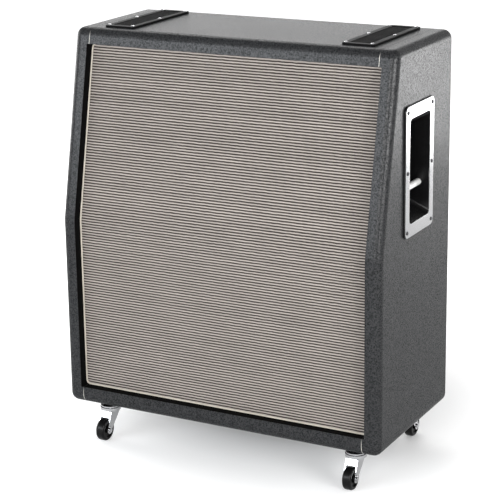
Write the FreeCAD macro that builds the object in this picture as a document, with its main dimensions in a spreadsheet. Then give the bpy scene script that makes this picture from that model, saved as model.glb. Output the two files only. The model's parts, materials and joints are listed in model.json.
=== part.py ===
import FreeCAD, Part
import math
import os
import re

import Sketcher
from FreeCAD import Rotation, Vector

# A guitar speaker cabinet with a leaning upper front, on four swivel casters.
# Millimetres. The floor is at z = 0, the front faces -Y and the middle of the cabinet is at x = y = 0.

document = FreeCAD.newDocument("SpeakerCabinet")
sheet = document.addObject("Spreadsheet::Sheet", "Dims")

# Every driving size: its name in the sheet, its value and what it measures
sizes = (
    ("cabinet_depth", 378, "over the covering, at the bottom"),
    ("front_setback", 83, "how far the front leans back at the top"),
    ("panel", 18, "thickness of the plywood"),
    ("covering", 1, "thickness of the vinyl"),
    ("edge_radius", 18, "rounding around the two sides"),
    ("corner_radius", 20, "rounding of the top and bottom edges"),
    ("bend_radius", 60, "rounding of the front where it starts to lean"),
    ("side_band", 33, "width of the front rim at the sides"),
    ("top_band", 33.5, "height of the front rim at the top"),
    ("bottom_band", 38, "height of the front rim at the bottom"),
    ("seam_reach", 6, "how far a side's covering runs past the front rim"),
    ("rear_wrap", 12, "how far the covering turns in at the back"),
    ("cut_margin", 50, "how far cutting shapes reach past the cabinet"),
    ("fit_gap", 1, "room around boards that are fitted into the shell"),
    ("grille_recess", 24, "front rim to the grille cloth"),
    ("cloth", 1, "thickness of the grille cloth"),
    ("bead_radius", 1.9, "white beading around the cloth"),
    ("bead_corner", 9, "bend of the beading at the corners"),
    ("bead_bend", 15, "bend of the beading where the front leans"),
    ("seat_gap", 0.1, "room around pieces that lie against others"),
    ("batten", 20, "section of the battens"),
    ("post", 44, "section of the centre post"),
    ("rear_recess", 4, "back edge of the shell to the rear panel"),
    ("rear_screw_radius", 2.2, "shank of the rear panel's screws"),
    ("rear_screw_length", 34, "shank of the rear panel's screws"),
    ("rear_head_radius", 5, "head of the rear panel's screws"),
    ("rear_head_height", 2.6, "head of the rear panel's screws"),
    ("screw_gap", 0.1, "room around a screw's shank"),
    ("head_edge_share", 0.34, "straight part of a screw head's height"),
    ("recess_reach", 2.3, "arm of the cross in a screw head"),
    ("recess_width", 1.1, "width of the cross in a screw head"),
    ("recess_depth", 1.2, "depth of the cross in a screw head"),
    ("speaker_radius", 154.5, "rim of a speaker's frame"),
    ("column_gap", 17.5, "middle of the cabinet to a speaker's rim"),
    ("row_gap", 37.5, "bend of the baffle to a speaker's rim"),
    ("side_room", 32, "a speaker's rim to the side wall"),
    ("foot_room", 55.5, "a lower speaker's rim to the bottom wall"),
    ("head_room", 62.5, "an upper speaker's rim to the top, straightened"),
    ("rim_width", 13.5, "a speaker's rim on the baffle"),
    ("gasket", 3, "thickness of a speaker's gasket"),
    ("flange", 2, "thickness of a speaker's sheet steel frame"),
    ("surround_edge", 5, "flat edge of a surround inside the speaker hole"),
    ("roll_width", 9, "surround between its edge and the cone"),
    ("basket_depth", 66, "baffle to the back of a speaker's frame"),
    ("basket_back_radius", 78, "back of a speaker's frame"),
    ("window_edge", 10, "frame's steel at both ends of a window"),
    ("window_angle", 15, "half the angle of a window"),
    ("ledge_inset", 20, "back of the frame to the ledge for the spider"),
    ("ledge_width", 6, "ledge that carries the spider"),
    ("ledge_height", 6, "ledge that carries the spider"),
    ("coil_radius", 23.4, "outside of the voice coil"),
    ("coil_wall", 1, "wall of the voice coil"),
    ("coil_gap", 0.7, "room on both sides of the voice coil"),
    ("coil_length", 24, "voice coil behind the cone"),
    ("neck_room", 12, "neck of a cone to the back of the frame"),
    ("paper", 1.2, "thickness of cone, cap, surround and spider"),
    ("roll_share", 0.51, "radius of the surround's roll, of its width"),
    ("cap_radius", 38, "dust cap"),
    ("cap_rise", 11, "crown of the dust cap"),
    ("plate_radius", 68, "steel plates of the motor"),
    ("plate", 7, "thickness of the motor's steel plates"),
    ("magnet_radius", 78, "ring magnet"),
    ("magnet_bore", 32, "ring magnet"),
    ("magnet", 19, "thickness of the ring magnet"),
    ("bolt_inset", 5.5, "a speaker's rim to its bolts"),
    ("bolt_radius", 2.6, "speaker bolts"),
    ("bolt_head_radius", 5, "speaker bolts"),
    ("bolt_head_height", 3.5, "speaker bolts"),
    ("lead_radius", 2, "leads to the loudspeakers"),
    ("lead_spread", 5, "the jack's axis to a lead, across and along"),
    ("lead_slack", 30, "straight run at the ends of a lead"),
    ("lead_bend", 14, "bends of a lead"),
    ("handle_depth_place", 188, "front to the middle of a handle"),
    ("handle_rise", 152.5, "bend of the front to the middle of a handle"),
    ("handle_width", 145.5, "handle frame"),
    ("handle_height", 273, "handle frame"),
    ("handle_corner", 12, "rounding of the handle frame"),
    ("handle_frame", 2, "thickness of the handle frame"),
    ("frame_round", 0.6, "rounded edges of the handle frame"),
    ("handle_rim_side", 20.25, "frame beside the cup's mouth"),
    ("handle_rim_end", 27, "frame above and below the cup's mouth"),
    ("cup_flange", 3, "thickness of the cup's flange"),
    ("cup_margin", 1.2, "how far the cup's flange shows round the frame"),
    ("cup_round", 1.2, "rounded edge of the cup's flange"),
    ("cup_corner", 9, "rounding of the cup's mouth"),
    ("cup_depth", 60, "face of the covering to the cup's floor"),
    ("cup_draw_side", 8.5, "how far the cup draws in at its sides"),
    ("cup_draw_end", 34.5, "how far the cup draws in above and below"),
    ("cup_wall", 3, "wall of the cup"),
    ("bar_radius", 7, "handle bar"),
    ("bar_inset", 20, "face of the covering to the bar's axis"),
    ("bar_drop", 44, "middle of the handle to the bar's axis"),
    ("handle_screw_side", 9.5, "side of the handle frame to its screws"),
    ("handle_screw_end", 12, "end of the handle frame to its screws"),
    ("handle_screw_radius", 2, "shank of the handle screws"),
    ("handle_screw_length", 20, "shank of the handle screws"),
    ("handle_head_radius", 4.2, "head of the handle screws"),
    ("handle_head_height", 2.4, "head of the handle screws"),
    ("top_plate_side", 98, "side of the cabinet to a top plate's middle"),
    ("top_plate_front", 22, "front edge of the top to a top plate"),
    ("top_plate_back", 31, "back of the cabinet to a top plate"),
    ("top_plate_width", 72, "top plate"),
    ("top_plate", 4.5, "thickness of a top plate's rim"),
    ("top_plate_floor", 1.5, "thickness of a top plate under its inlay"),
    ("top_plate_corner", 6, "rounding of a top plate"),
    ("top_plate_round", 1.2, "rounded edge of a top plate"),
    ("top_plate_rim", 13, "rim around the inlay"),
    ("inlay", 1.2, "thickness of the inlay"),
    ("inlay_rib", 0.9, "height of the inlay's ribs"),
    ("inlay_rib_width", 2.4, "width of the inlay's ribs"),
    ("top_screw_side", 7, "side of a top plate to its screws"),
    ("top_screw_end", 9, "end of a top plate to its screws"),
    ("top_screw_radius", 2, "shank of the top plate's screws"),
    ("top_screw_length", 14, "shank of the top plate's screws"),
    ("top_head_radius", 4.2, "head of the top plate's screws"),
    ("top_head_height", 2.2, "head of the top plate's screws"),
    ("caster_side", 75, "side of the cabinet to a caster's stem"),
    ("caster_inset", 53, "front or back to a caster's stem"),
    ("caster_trail", 27, "stem to axle"),
    ("wheel_radius", 25, "caster wheel"),
    ("wheel_width", 20, "caster wheel"),
    ("wheel_side_gap", 1, "wheel to the fork's legs"),
    ("wheel_room", 11.3, "wheel to the underside of the fork's crown"),
    ("tread_radius", 5, "rounding of the tread"),
    ("hub_radius", 9, "hub of the wheel"),
    ("hub_gap", 0.3, "hub to the fork's legs"),
    ("web_width", 13, "wheel between hub and rim"),
    ("rim_thickness", 7, "tread to the inside of the wheel's rim"),
    ("axle_radius", 4, "caster axle"),
    ("axle_head_radius", 5, "ends of the caster axle"),
    ("axle_head", 3, "ends of the caster axle"),
    ("run_gap", 0.05, "room of a turning fit"),
    ("fork_leg", 2.6, "thickness of the fork's legs"),
    ("fork_boss", 9, "rounding of the fork's legs at the axle"),
    ("leg_hole_radius", 1.7, "small hole in the fork's legs"),
    ("leg_hole_rise", 8, "axle to the small hole in the fork's legs"),
    ("fork_front", 19.5, "stem to the fork's front edge at the crown"),
    ("fork_back", 18, "stem to the fork's back edge at the crown"),
    ("apron", 2.5, "thickness of the fork's front apron"),
    ("apron_gap", 2, "wheel to the lower edge of the apron"),
    ("crown", 3, "thickness of the fork's crown"),
    ("crown_groove", 1.4, "fork's crown to the bearing bowl"),
    ("groove_radius", 15, "neck under the bearing bowl"),
    ("bowl_radius", 23, "bearing bowl above the fork's crown"),
    ("bowl_height", 6.5, "bearing bowl above the fork's crown"),
    ("bowl_wall", 2.2, "wall and floor of the bearing bowl"),
    ("stem_radius", 5.5, "caster stem in its socket"),
    ("stem_length", 34, "caster stem in its socket"),
    ("pivot_radius", 6, "caster stem in the fork's crown"),
    ("rivet_radius", 9, "end of the stem under the crown"),
    ("rivet", 3, "end of the stem under the crown"),
    ("rivet_gap", 0.3, "room between rivet and crown"),
    ("race_radius", 22, "upper race of the swivel"),
    ("race_gap", 1.7, "between the bowl and the upper race"),
    ("race", 5, "upper race of the swivel"),
    ("race_neck_radius", 13, "above the upper race"),
    ("race_neck", 9.1, "upper race to the caster socket"),
    ("socket_flange_radius", 21, "caster socket"),
    ("socket_flange", 2, "caster socket"),
    ("socket_wall", 1.9, "wall of the caster socket"),
    ("jack_height_place", 210, "bottom to the jack plate's middle"),
    ("jack_plate_width", 120, "jack plate"),
    ("jack_plate_height", 70, "jack plate"),
    ("jack_plate", 2, "thickness of the jack plate"),
    ("jack_plate_corner", 8, "rounding of the jack plate"),
    ("jack_screw_inset", 9, "edge of the jack plate to its screws"),
    ("jack_screw_length", 15, "shank of the jack plate's screws"),
    ("jack_bore", 3.3, "radius of the jack's bore, for a 6.35 mm plug"),
    ("jack_bush_radius", 5, "jack"),
    ("jack_nut_radius", 8, "jack"),
    ("jack_nut", 3, "thickness of the jack's nut"),
    ("jack_bush", 2, "jack's bush past its nut"),
    ("jack_body_radius", 11.5, "jack"),
    ("jack_body_length", 28, "jack behind its plate"),
    ("jack_end", 3, "closed end of the jack"),
    ("jack_room", 4.5, "room around the jack in the rear panel"),
)
# Sizes that follow from those: the speakers set the cabinet's width and height, the wheels set the casters'
followers = {
    "wall": "panel + covering",
    "speaker_column": "speaker_radius + column_gap",
    "speaker_row": "speaker_radius + row_gap",
    "cabinet_width": "2 * (speaker_column + speaker_radius + side_room + wall)",
    "bend_height": "wall + foot_room + speaker_radius + speaker_row",
    "cabinet_height": "bend_height + speaker_row + speaker_radius + head_room",
    "seam_inset": "side_band + seam_reach",
    "cutout_radius": "speaker_radius - rim_width",
    "bolt_circle": "speaker_radius - bolt_inset",
    "surround_radius": "cutout_radius - surround_edge",
    "cone_radius": "surround_radius - roll_width",
    "cone_depth": "basket_depth - neck_room",
    "window_inner": "basket_back_radius + window_edge",
    "window_outer": "cutout_radius - window_edge",
    "ledge_radius": "basket_back_radius - ledge_inset",
    "lead_place": "(window_inner + window_outer) / 2",
    "handle_height_place": "bend_height + handle_rise",
    "handle_screw_columns": "handle_width - 2 * handle_screw_side",
    "handle_screw_rows": "handle_height / 2 - handle_screw_end",
    "cup_width": "handle_width - 2 * handle_rim_side",
    "cup_height": "handle_height - 2 * handle_rim_end",
    "cup_floor_width": "cup_width - 2 * cup_draw_side",
    "cup_floor_height": "cup_height - 2 * cup_draw_end",
    "top_plate_place": "cabinet_width / 2 - top_plate_side",
    "top_plate_length": "cabinet_depth - front_setback - top_plate_front - top_plate_back",
    "top_plate_depth_place": "cabinet_depth - top_plate_back - top_plate_length / 2",
    "top_screw_columns": "top_plate_width - 2 * top_screw_side",
    "top_screw_rows": "top_plate_length / 2 - top_screw_end",
    "caster_place": "cabinet_width / 2 - caster_side",
    "fork_gap": "wheel_width + 2 * wheel_side_gap",
    "hub_face": "fork_gap - 2 * hub_gap",
    "rim_radius": "wheel_radius - rim_thickness",
    "crown_height": "2 * wheel_radius + wheel_room",
    "apron_height": "2 * wheel_radius + apron_gap",
    "apron_back": "fork_front - apron",
    "bowl_rise": "crown + crown_groove",
    "swivel_height": "bowl_rise + bowl_height + race_gap + race + race_neck",
    "caster_height": "crown_height + swivel_height + socket_flange",
    "socket_radius": "stem_radius + socket_wall",
    "jack_screw_columns": "jack_plate_width - 2 * jack_screw_inset",
    "jack_screw_rows": "jack_plate_height - 2 * jack_screw_inset",
    "jack_hole_radius": "jack_body_radius + jack_room",
}
pair = 2
plate_rows_count = 3
rear_rows_count = 5
rear_columns_count = 3
window_count = 8
bolt_count = 8
rib_count = 9
names = {name for name, number, note in sizes}


def fill_sheet():
    for row, (name, number, note) in enumerate(sizes, start=1):
        sheet.set(f"A{row}", note)
        sheet.set(f"B{row}", str(number))
        sheet.setAlias(f"B{row}", name)
    document.recompute()


def formula(text):
    def in_sheet(word):
        name = word[0]
        if name in followers:
            return f"({formula(followers[name])})"
        return f"Dims.{name}" if name in names else name

    return re.sub(r"[a-z_]+", in_sheet, text)


def value(text):
    result = sheet.evalExpression(formula(text))
    return float(getattr(result, "Value", result))


def bind(target, attribute, text):
    target.setExpression(attribute, formula(text))


fill_sheet()

# Places that several pieces share, as formulas of the sheet
lean = "atan(front_setback / (cabinet_height - bend_height))"
slope = "(front_setback / (cabinet_height - bend_height))"
mitre = f"tan({lean} / 2)"
front = "(-cabinet_depth / 2)"
half_width = "(cabinet_width / 2)"
inner_half_width = f"({half_width} - wall)"
inner_top = "(cabinet_height - wall)"
baffle_front = "(grille_recess + cloth)"
baffle_back = "(grille_recess + cloth + panel)"
rear_face = "(cabinet_depth - rear_recess)"
rear_panel_front = "(cabinet_depth - rear_recess - covering - panel)"
shell_place = ("0", front, "caster_height")
bend_place = ("0", front, "caster_height + bend_height")
screw_line = f"({inner_half_width} - batten / 2)"
screw_low = "(wall + batten / 2)"
screw_high = f"({inner_top} - batten / 2)"
top_plate_base = ("0", f"{front} + top_plate_depth_place", "caster_height + cabinet_height")
jack_base = ("0", f"{front} + {rear_face}", "caster_height + jack_height_place")
lean_axis = Vector(-1, 0, 0)
upright = Vector(0, 0, 1)
flatness = 1e-6


# Sketches and features


def origin_part(body, role):
    return next(feature for feature in body.Origin.OriginFeatures if feature.Role == role)


def place(target, base, turn=None, axis=Vector(1, 0, 0)):
    if turn is not None:
        target.Placement = FreeCAD.Placement(Vector(), Rotation(axis, value(turn)))
        bind(target, "Placement.Rotation.Angle", turn)
    for letter, text in zip("xyz", base):
        bind(target, f"Placement.Base.{letter}", text)


def new_body(label, base=("0", "0", "0"), turn=None, axis=Vector(1, 0, 0)):
    body = document.addObject("PartDesign::Body", label)
    place(body, base, turn, axis)
    return body


def new_sketch(body, role, shift="0", rise="0", lift="0"):
    made = body.newObject("Sketcher::SketchObject", "Sketch")
    made.AttachmentSupport = (origin_part(body, role), [""])
    made.MapMode = "FlatFace"
    for letter, text in zip("xyz", (shift, rise, lift)):
        bind(made, f"AttachmentOffset.Base.{letter}", text)
    return made


def hold(target, kind, geometry, point, text):
    index = target.addConstraint(Sketcher.Constraint(kind, -1, 1, geometry, point, value(text)))
    bind(target, f"Constraints[{index}]", text)


def hold_radius(target, geometry, text):
    index = target.addConstraint(Sketcher.Constraint("Radius", geometry, value(text)))
    bind(target, f"Constraints[{index}]", text)


def arc_between(start, end, radius):
    # A negative radius bulges to the right of the way from start to end
    chord = end - start
    left = Vector(-chord.y, chord.x, 0).normalize()
    side = 1 if radius > 0 else -1
    drop = abs(radius) - math.sqrt(max(radius * radius - chord.Length ** 2 / 4, 0))
    middle = (start + end) / 2 + left * drop * side
    return Part.Arc(start, middle, end)


def outline(target, corners):
    # A corner is (x, y), or (x, y, radius) where an arc leads to the next corner
    first = target.GeometryCount
    count = len(corners)
    points = [Vector(value(corner[0]), value(corner[1]), 0) for corner in corners]
    reversed_arcs = set()
    for n, corner in enumerate(corners):
        start = points[n]
        end = points[(n + 1) % count]
        if len(corner) == 2:
            target.addGeometry(Part.LineSegment(start, end))
            continue
        radius = value(corner[2])
        target.addGeometry(arc_between(start, end, radius))
        own_start = target.getPoint(first + n, 1)
        if own_start.distanceToPoint(start) > own_start.distanceToPoint(end):
            reversed_arcs.add(n)
    ends = [(2, 1) if n in reversed_arcs else (1, 2) for n in range(count)]
    for n, corner in enumerate(corners):
        after = (n + 1) % count
        joined = (first + n, ends[n][1], first + after, ends[after][0])
        target.addConstraint(Sketcher.Constraint("Coincident", *joined))
        hold(target, "DistanceX", first + n, ends[n][0], corner[0])
        hold(target, "DistanceY", first + n, ends[n][0], corner[1])
        if len(corner) == 3:
            hold_radius(target, first + n, f"abs({corner[2]})")


def circle(target, x, y, radius):
    index = target.addGeometry(Part.Circle(Vector(value(x), value(y), 0), Vector(0, 0, 1), value(radius)))
    hold_radius(target, index, radius)
    hold(target, "DistanceX", index, 3, x)
    hold(target, "DistanceY", index, 3, y)


def rounded_rectangle(target, width, height, radius):
    first = target.GeometryCount
    signs = ((1, -1), (1, 1), (-1, 1), (-1, -1))
    centres = [(f"{x} * ({width} / 2 - {radius})", f"{y} * ({height} / 2 - {radius})") for x, y in signs]
    round_size = value(radius)
    arcs = []
    for n, (x, y) in enumerate(centres):
        ring = Part.Circle(Vector(value(x), value(y), 0), Vector(0, 0, 1), round_size)
        arcs.append(Part.ArcOfCircle(ring, math.radians(90 * n - 90), math.radians(90 * n)))
    for n, arc in enumerate(arcs):
        target.addGeometry(arc)
        target.addGeometry(Part.LineSegment(arc.EndPoint, arcs[(n + 1) % 4].StartPoint))
    for n, (x, y) in enumerate(centres):
        arc = first + 2 * n
        next_arc = first + 2 * ((n + 1) % 4)
        target.addConstraint(Sketcher.Constraint("Tangent", arc, 2, arc + 1, 1))
        target.addConstraint(Sketcher.Constraint("Tangent", arc + 1, 2, next_arc, 1))
        hold(target, "DistanceX", arc, 3, x)
        hold(target, "DistanceY", arc, 3, y)
        hold_radius(target, arc, radius)


def add_pad(body, profile, length, middle=False, backward=False):
    made = body.newObject("PartDesign::Pad", "Pad")
    made.Profile = profile
    made.Midplane = middle
    made.Reversed = backward
    bind(made, "Length", length)
    document.recompute()
    return made


def add_pocket(body, profile, length=None, middle=False, backward=False):
    before = body.Shape.Volume
    made = body.newObject("PartDesign::Pocket", "Pocket")
    made.Profile = profile
    made.Midplane = middle
    made.Reversed = backward
    if length is None:
        made.Type = "ThroughAll"
        made.Midplane = True
    else:
        bind(made, "Length", length)
    document.recompute()
    if not body.Shape.Volume < before:
        raise RuntimeError(f"a pocket of {body.Label} cuts nothing")
    return made


def add_turned(body, profile, axis="V_Axis"):
    made = body.newObject("PartDesign::Revolution", "Revolution")
    made.Profile = profile
    made.ReferenceAxis = (profile, [axis])
    made.Angle = 360
    document.recompute()
    return made


def add_fillet(body, radius, chosen):
    base = body.Tip
    names_of_edges = [f"Edge{n}" for n, edge in enumerate(base.Shape.Edges, start=1) if chosen(edge)]
    made = body.newObject("PartDesign::Fillet", "Fillet")
    made.Base = (base, names_of_edges)
    bind(made, "Radius", radius)
    document.recompute()
    return made


def rim_edges(axis, level):
    # Picks the edges that lie in the plane at that level of the body's own x or z axis
    height = value(level)

    def lies_there(edge):
        return all(abs(getattr(vertex.Point, axis) - height) < flatness for vertex in edge.Vertexes)

    return lies_there


def add_row(body, role, length, count):
    made = body.newObject("PartDesign::LinearPattern", "LinearPattern")
    made.TransformMode = "Whole shape"
    made.Direction = (origin_part(body, role), [""])
    made.Occurrences = count
    bind(made, "Length", length)
    body.Tip = made
    document.recompute()


def add_ring(body, role, count, features=None):
    made = body.newObject("PartDesign::PolarPattern", "PolarPattern")
    if features is None:
        made.TransformMode = "Whole shape"
    else:
        made.Originals = features
    made.Axis = (origin_part(body, role), [""])
    made.Angle = 360
    made.Occurrences = count
    body.Tip = made
    document.recompute()


def add_mirror(body, role):
    made = body.newObject("PartDesign::Mirrored", "Mirrored")
    made.TransformMode = "Whole shape"
    made.MirrorPlane = (origin_part(body, role), [""])
    body.Tip = made
    document.recompute()


def block(label, low, high, base=shell_place):
    made = document.addObject("Part::Box", label)
    for attribute, start, end in zip(("Length", "Width", "Height"), low, high):
        bind(made, attribute, f"({end}) - ({start})")
    place(made, [f"{origin} + {start}" for origin, start in zip(base, low)])
    return made


def boolean(kind, label, base, tool):
    made = document.addObject(f"Part::{kind}", label)
    made.Base = base
    made.Tool = tool
    document.recompute()
    return made


def cut(label, base, tool):
    return boolean("Cut", label, base, tool)


def common(label, base, tool):
    return boolean("Common", label, base, tool)


def group(label, pieces):
    made = document.addObject("Part::Compound", label)
    made.Links = pieces
    document.recompute()
    return made


# Screws and the holes for them


def add_screw(body, profile, radius, length, head_radius, head_height, along_x=False):
    # The underside of the head is at the sketch's origin, and the shank points to minus
    rise = f"({head_height} * (1 - head_edge_share))"
    dome = f"(({head_radius} * {head_radius} + {rise} * {rise}) / (2 * {rise}))"
    corners = [
        ("0", f"-{length}"),
        (radius, f"-{length}"),
        (radius, "0"),
        (head_radius, "0"),
        (head_radius, f"{head_height} * head_edge_share", f"-{dome}"),
        ("0", head_height),
    ]
    if along_x:
        corners = [(y, x, *(dome for bulge in bulges)) for x, y, *bulges in corners]
    outline(profile, corners)
    add_turned(body, profile, "H_Axis" if along_x else "V_Axis")


def add_recess(body, plane, backward=False):
    # Two slots that cross on the top of a head, where plane is the sketch's plane and offsets
    half = "recess_width / 2"
    for across, along in (("recess_reach", half), (half, "recess_reach")):
        slot = new_sketch(body, *plane)
        outline(slot, (
            (f"-{across}", f"-{along}"),
            (across, f"-{along}"),
            (across, along),
            (f"-{across}", along),
        ))
        add_pocket(body, slot, "recess_depth", backward=backward)


def handle_fasteners(label, holes):
    body = new_body(label, ("0", f"{front} + handle_depth_place", "caster_height + handle_height_place"))
    seat = f"{half_width} + cup_flange + handle_frame"
    if holes:
        profile = new_sketch(body, "YZ_Plane", "-handle_screw_columns / 2", "-handle_screw_rows", seat)
        circle(profile, "0", "0", "handle_screw_radius + screw_gap")
        add_pad(body, profile, "handle_screw_length + screw_gap", backward=True)
    else:
        profile = new_sketch(body, "XY_Plane", seat, "-handle_screw_columns / 2", "-handle_screw_rows")
        add_screw(
            body, profile, "handle_screw_radius", "handle_screw_length",
            "handle_head_radius", "handle_head_height", along_x=True,
        )
        head = f"{seat} + handle_head_height"
        add_recess(body, ("YZ_Plane", "-handle_screw_columns / 2", "-handle_screw_rows", head))
    add_row(body, "Y_Axis", "handle_screw_columns", pair)
    add_row(body, "Z_Axis", "2 * handle_screw_rows", plate_rows_count)
    add_mirror(body, "YZ_Plane")
    return body


def top_fasteners(label, holes):
    body = new_body(label, top_plate_base)
    column = "top_plate_place - top_screw_columns / 2"
    if holes:
        profile = new_sketch(body, "XY_Plane", column, "-top_screw_rows", "top_plate")
        circle(profile, "0", "0", "top_screw_radius + screw_gap")
        add_pad(body, profile, "top_screw_length + screw_gap", backward=True)
    else:
        profile = new_sketch(body, "XZ_Plane", column, "top_plate", "top_screw_rows")
        add_screw(body, profile, "top_screw_radius", "top_screw_length", "top_head_radius", "top_head_height")
        head = "top_plate + top_head_height"
        add_recess(body, ("XY_Plane", column, "-top_screw_rows", head))
    add_row(body, "X_Axis", "top_screw_columns", pair)
    add_row(body, "Y_Axis", "2 * top_screw_rows", plate_rows_count)
    add_mirror(body, "YZ_Plane")
    return body


def rear_fasteners(label, holes, start, rows):
    # start is the lowest screw's x and z, and rows are (axis, length, count)
    body = new_body(label, shell_place)
    if holes:
        profile = new_sketch(body, "XZ_Plane", start[0], start[1], f"-{rear_face}")
        circle(profile, "0", "0", "rear_screw_radius + screw_gap")
        add_pad(body, profile, "rear_screw_length + screw_gap")
    else:
        profile = new_sketch(body, "XY_Plane", start[0], rear_face, start[1])
        add_screw(
            body, profile, "rear_screw_radius", "rear_screw_length", "rear_head_radius", "rear_head_height"
        )
        head = f"-({rear_face} + rear_head_height)"
        add_recess(body, ("XZ_Plane", start[0], start[1], head), backward=True)
    for axis, length, count in rows:
        add_row(body, axis, length, count)
    return body


def rear_fastener_ring(label, holes):
    height = f"({screw_high} - {screw_low})"
    width = f"(2 * {screw_line})"
    pitch = f"({height} / {rear_columns_count + 1})"
    rows = rear_fasteners(
        f"{label}_rows", holes, (f"-{screw_line}", screw_low),
        (("X_Axis", width, rear_rows_count), ("Z_Axis", height, pair)),
    )
    columns = rear_fasteners(
        f"{label}_columns", holes, (f"-{screw_line}", f"{screw_low} + {pitch}"),
        (("X_Axis", width, pair), ("Z_Axis", f"{pitch} * {rear_columns_count - 1}", rear_columns_count)),
    )
    return [rows, columns]


def jack_fasteners(label, holes):
    body = new_body(label, jack_base)
    column = "-jack_screw_columns / 2"
    row = "-jack_screw_rows / 2"
    if holes:
        profile = new_sketch(body, "XZ_Plane", column, row, "-jack_plate")
        circle(profile, "0", "0", "rear_screw_radius + screw_gap")
        add_pad(body, profile, "jack_screw_length + screw_gap")
    else:
        profile = new_sketch(body, "XY_Plane", column, "jack_plate", row)
        add_screw(
            body, profile, "rear_screw_radius", "jack_screw_length", "rear_head_radius", "rear_head_height"
        )
        head = "-(jack_plate + rear_head_height)"
        add_recess(body, ("XZ_Plane", column, row, head), backward=True)
    add_row(body, "X_Axis", "jack_screw_columns", pair)
    add_row(body, "Z_Axis", "jack_screw_rows", pair)
    return body


# The shell: covering, plywood walls and the rails of the front rim


def lean_line(depth, height):
    return f"({depth} / cos({lean}) + ({height} - bend_height) * {slope})"


def bend_point(depth):
    return f"(bend_height - {depth} * {mitre})"


def rounded_block(label, inset):
    body = new_body(label, shell_place)
    profile = new_sketch(body, "YZ_Plane")
    high = f"(cabinet_height - {inset})"
    far = f"(cabinet_depth - {inset})"
    outline(profile, (
        (inset, inset),
        (inset, bend_point(inset)),
        (lean_line(inset, high), high),
        (far, high),
        (far, inset),
    ))
    add_pad(body, profile, f"cabinet_width - 2 * {inset}", middle=True)
    long_edge = value("cabinet_width") / 2
    bend = value("bend_height")
    near_bend = value("bend_radius")

    def across(edge):
        return edge.BoundBox.XLength > long_edge

    def at_bend(edge):
        return across(edge) and abs(edge.CenterOfMass.z - bend) < near_bend

    add_fillet(body, f"corner_radius - {inset}", lambda edge: across(edge) and not at_bend(edge))
    add_fillet(body, f"bend_radius - {inset}", at_bend)
    add_fillet(body, f"edge_radius - {inset}", lambda edge: edge.BoundBox.XLength < flatness)
    return body


def front_zone(label):
    body = new_body(label, shell_place)
    profile = new_sketch(body, "YZ_Plane")
    high = "(cabinet_height + cut_margin)"
    outline(profile, (
        ("-cut_margin", "-cut_margin"),
        ("grille_recess", "-cut_margin"),
        ("grille_recess", bend_point("grille_recess")),
        (lean_line("grille_recess", high), high),
        ("-cut_margin", high),
    ))
    add_pad(body, profile, "cabinet_width + 2 * cut_margin", middle=True)
    return body


def mouth(label, grow):
    half = f"({half_width} - side_band + {grow})"
    return block(
        label,
        (f"-{half}", "-cut_margin", f"bottom_band - {grow}"),
        (half, "front_setback + grille_recess + cut_margin", f"cabinet_height - top_band + {grow}"),
    )


def tail(label, grow):
    half = f"({inner_half_width} - covering + {grow})"
    return block(
        label,
        (f"-{half}", "cabinet_depth - rear_wrap", f"wall + covering - {grow}"),
        (half, "cabinet_depth + cut_margin", f"{inner_top} - covering + {grow}"),
    )


def opened(label, whole, zone, mouth_block, grow):
    openings = group(f"{label}_openings", [
        common(f"{label}_mouth_pocket", zone, mouth_block),
        tail(f"{label}_tail", grow),
    ])
    return cut(label, whole, openings)


def handle_cutout(label):
    width = "(cup_width / 2 + cup_wall + fit_gap)"
    height = "(cup_height / 2 + cup_wall + fit_gap)"
    side = f"({half_width} + cut_margin)"
    return block(
        label,
        (f"-{side}", f"handle_depth_place - {width}", f"handle_height_place - {height}"),
        (side, f"handle_depth_place + {width}", f"handle_height_place + {height}"),
    )


def caster_holes(label):
    body = new_body(label)
    profile = new_sketch(body, "XY_Plane", "-caster_place", f"{front} + caster_inset", "caster_height")
    circle(profile, "0", "0", "socket_radius + seat_gap")
    add_pad(body, profile, "2 * wall", middle=True)
    add_row(body, "X_Axis", "2 * caster_place", pair)
    add_row(body, "Y_Axis", "cabinet_depth - 2 * caster_inset", pair)
    return body


def split(stem, base, edge, names_of_four):
    # Cuts a hollow shape into a left, a right, a top and a bottom piece, at x = -edge and x = edge
    far = f"({half_width} + cut_margin)"
    low_y = "-cut_margin"
    high_y = "cabinet_depth + cut_margin"
    low_z = "-cut_margin"
    high_z = "cabinet_height + cut_margin"
    zones = (
        ((f"-{far}", low_y, low_z), (f"-{edge}", high_y, high_z)),
        ((edge, low_y, low_z), (far, high_y, high_z)),
        ((f"-{edge}", low_y, "bend_height"), (edge, high_y, high_z)),
        ((f"-{edge}", low_y, low_z), (edge, high_y, "bend_height")),
    )
    return [
        common(name, base, block(f"{stem}_zone_{n}", low, high))
        for n, (name, (low, high)) in enumerate(zip(names_of_four, zones))
    ]


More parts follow.
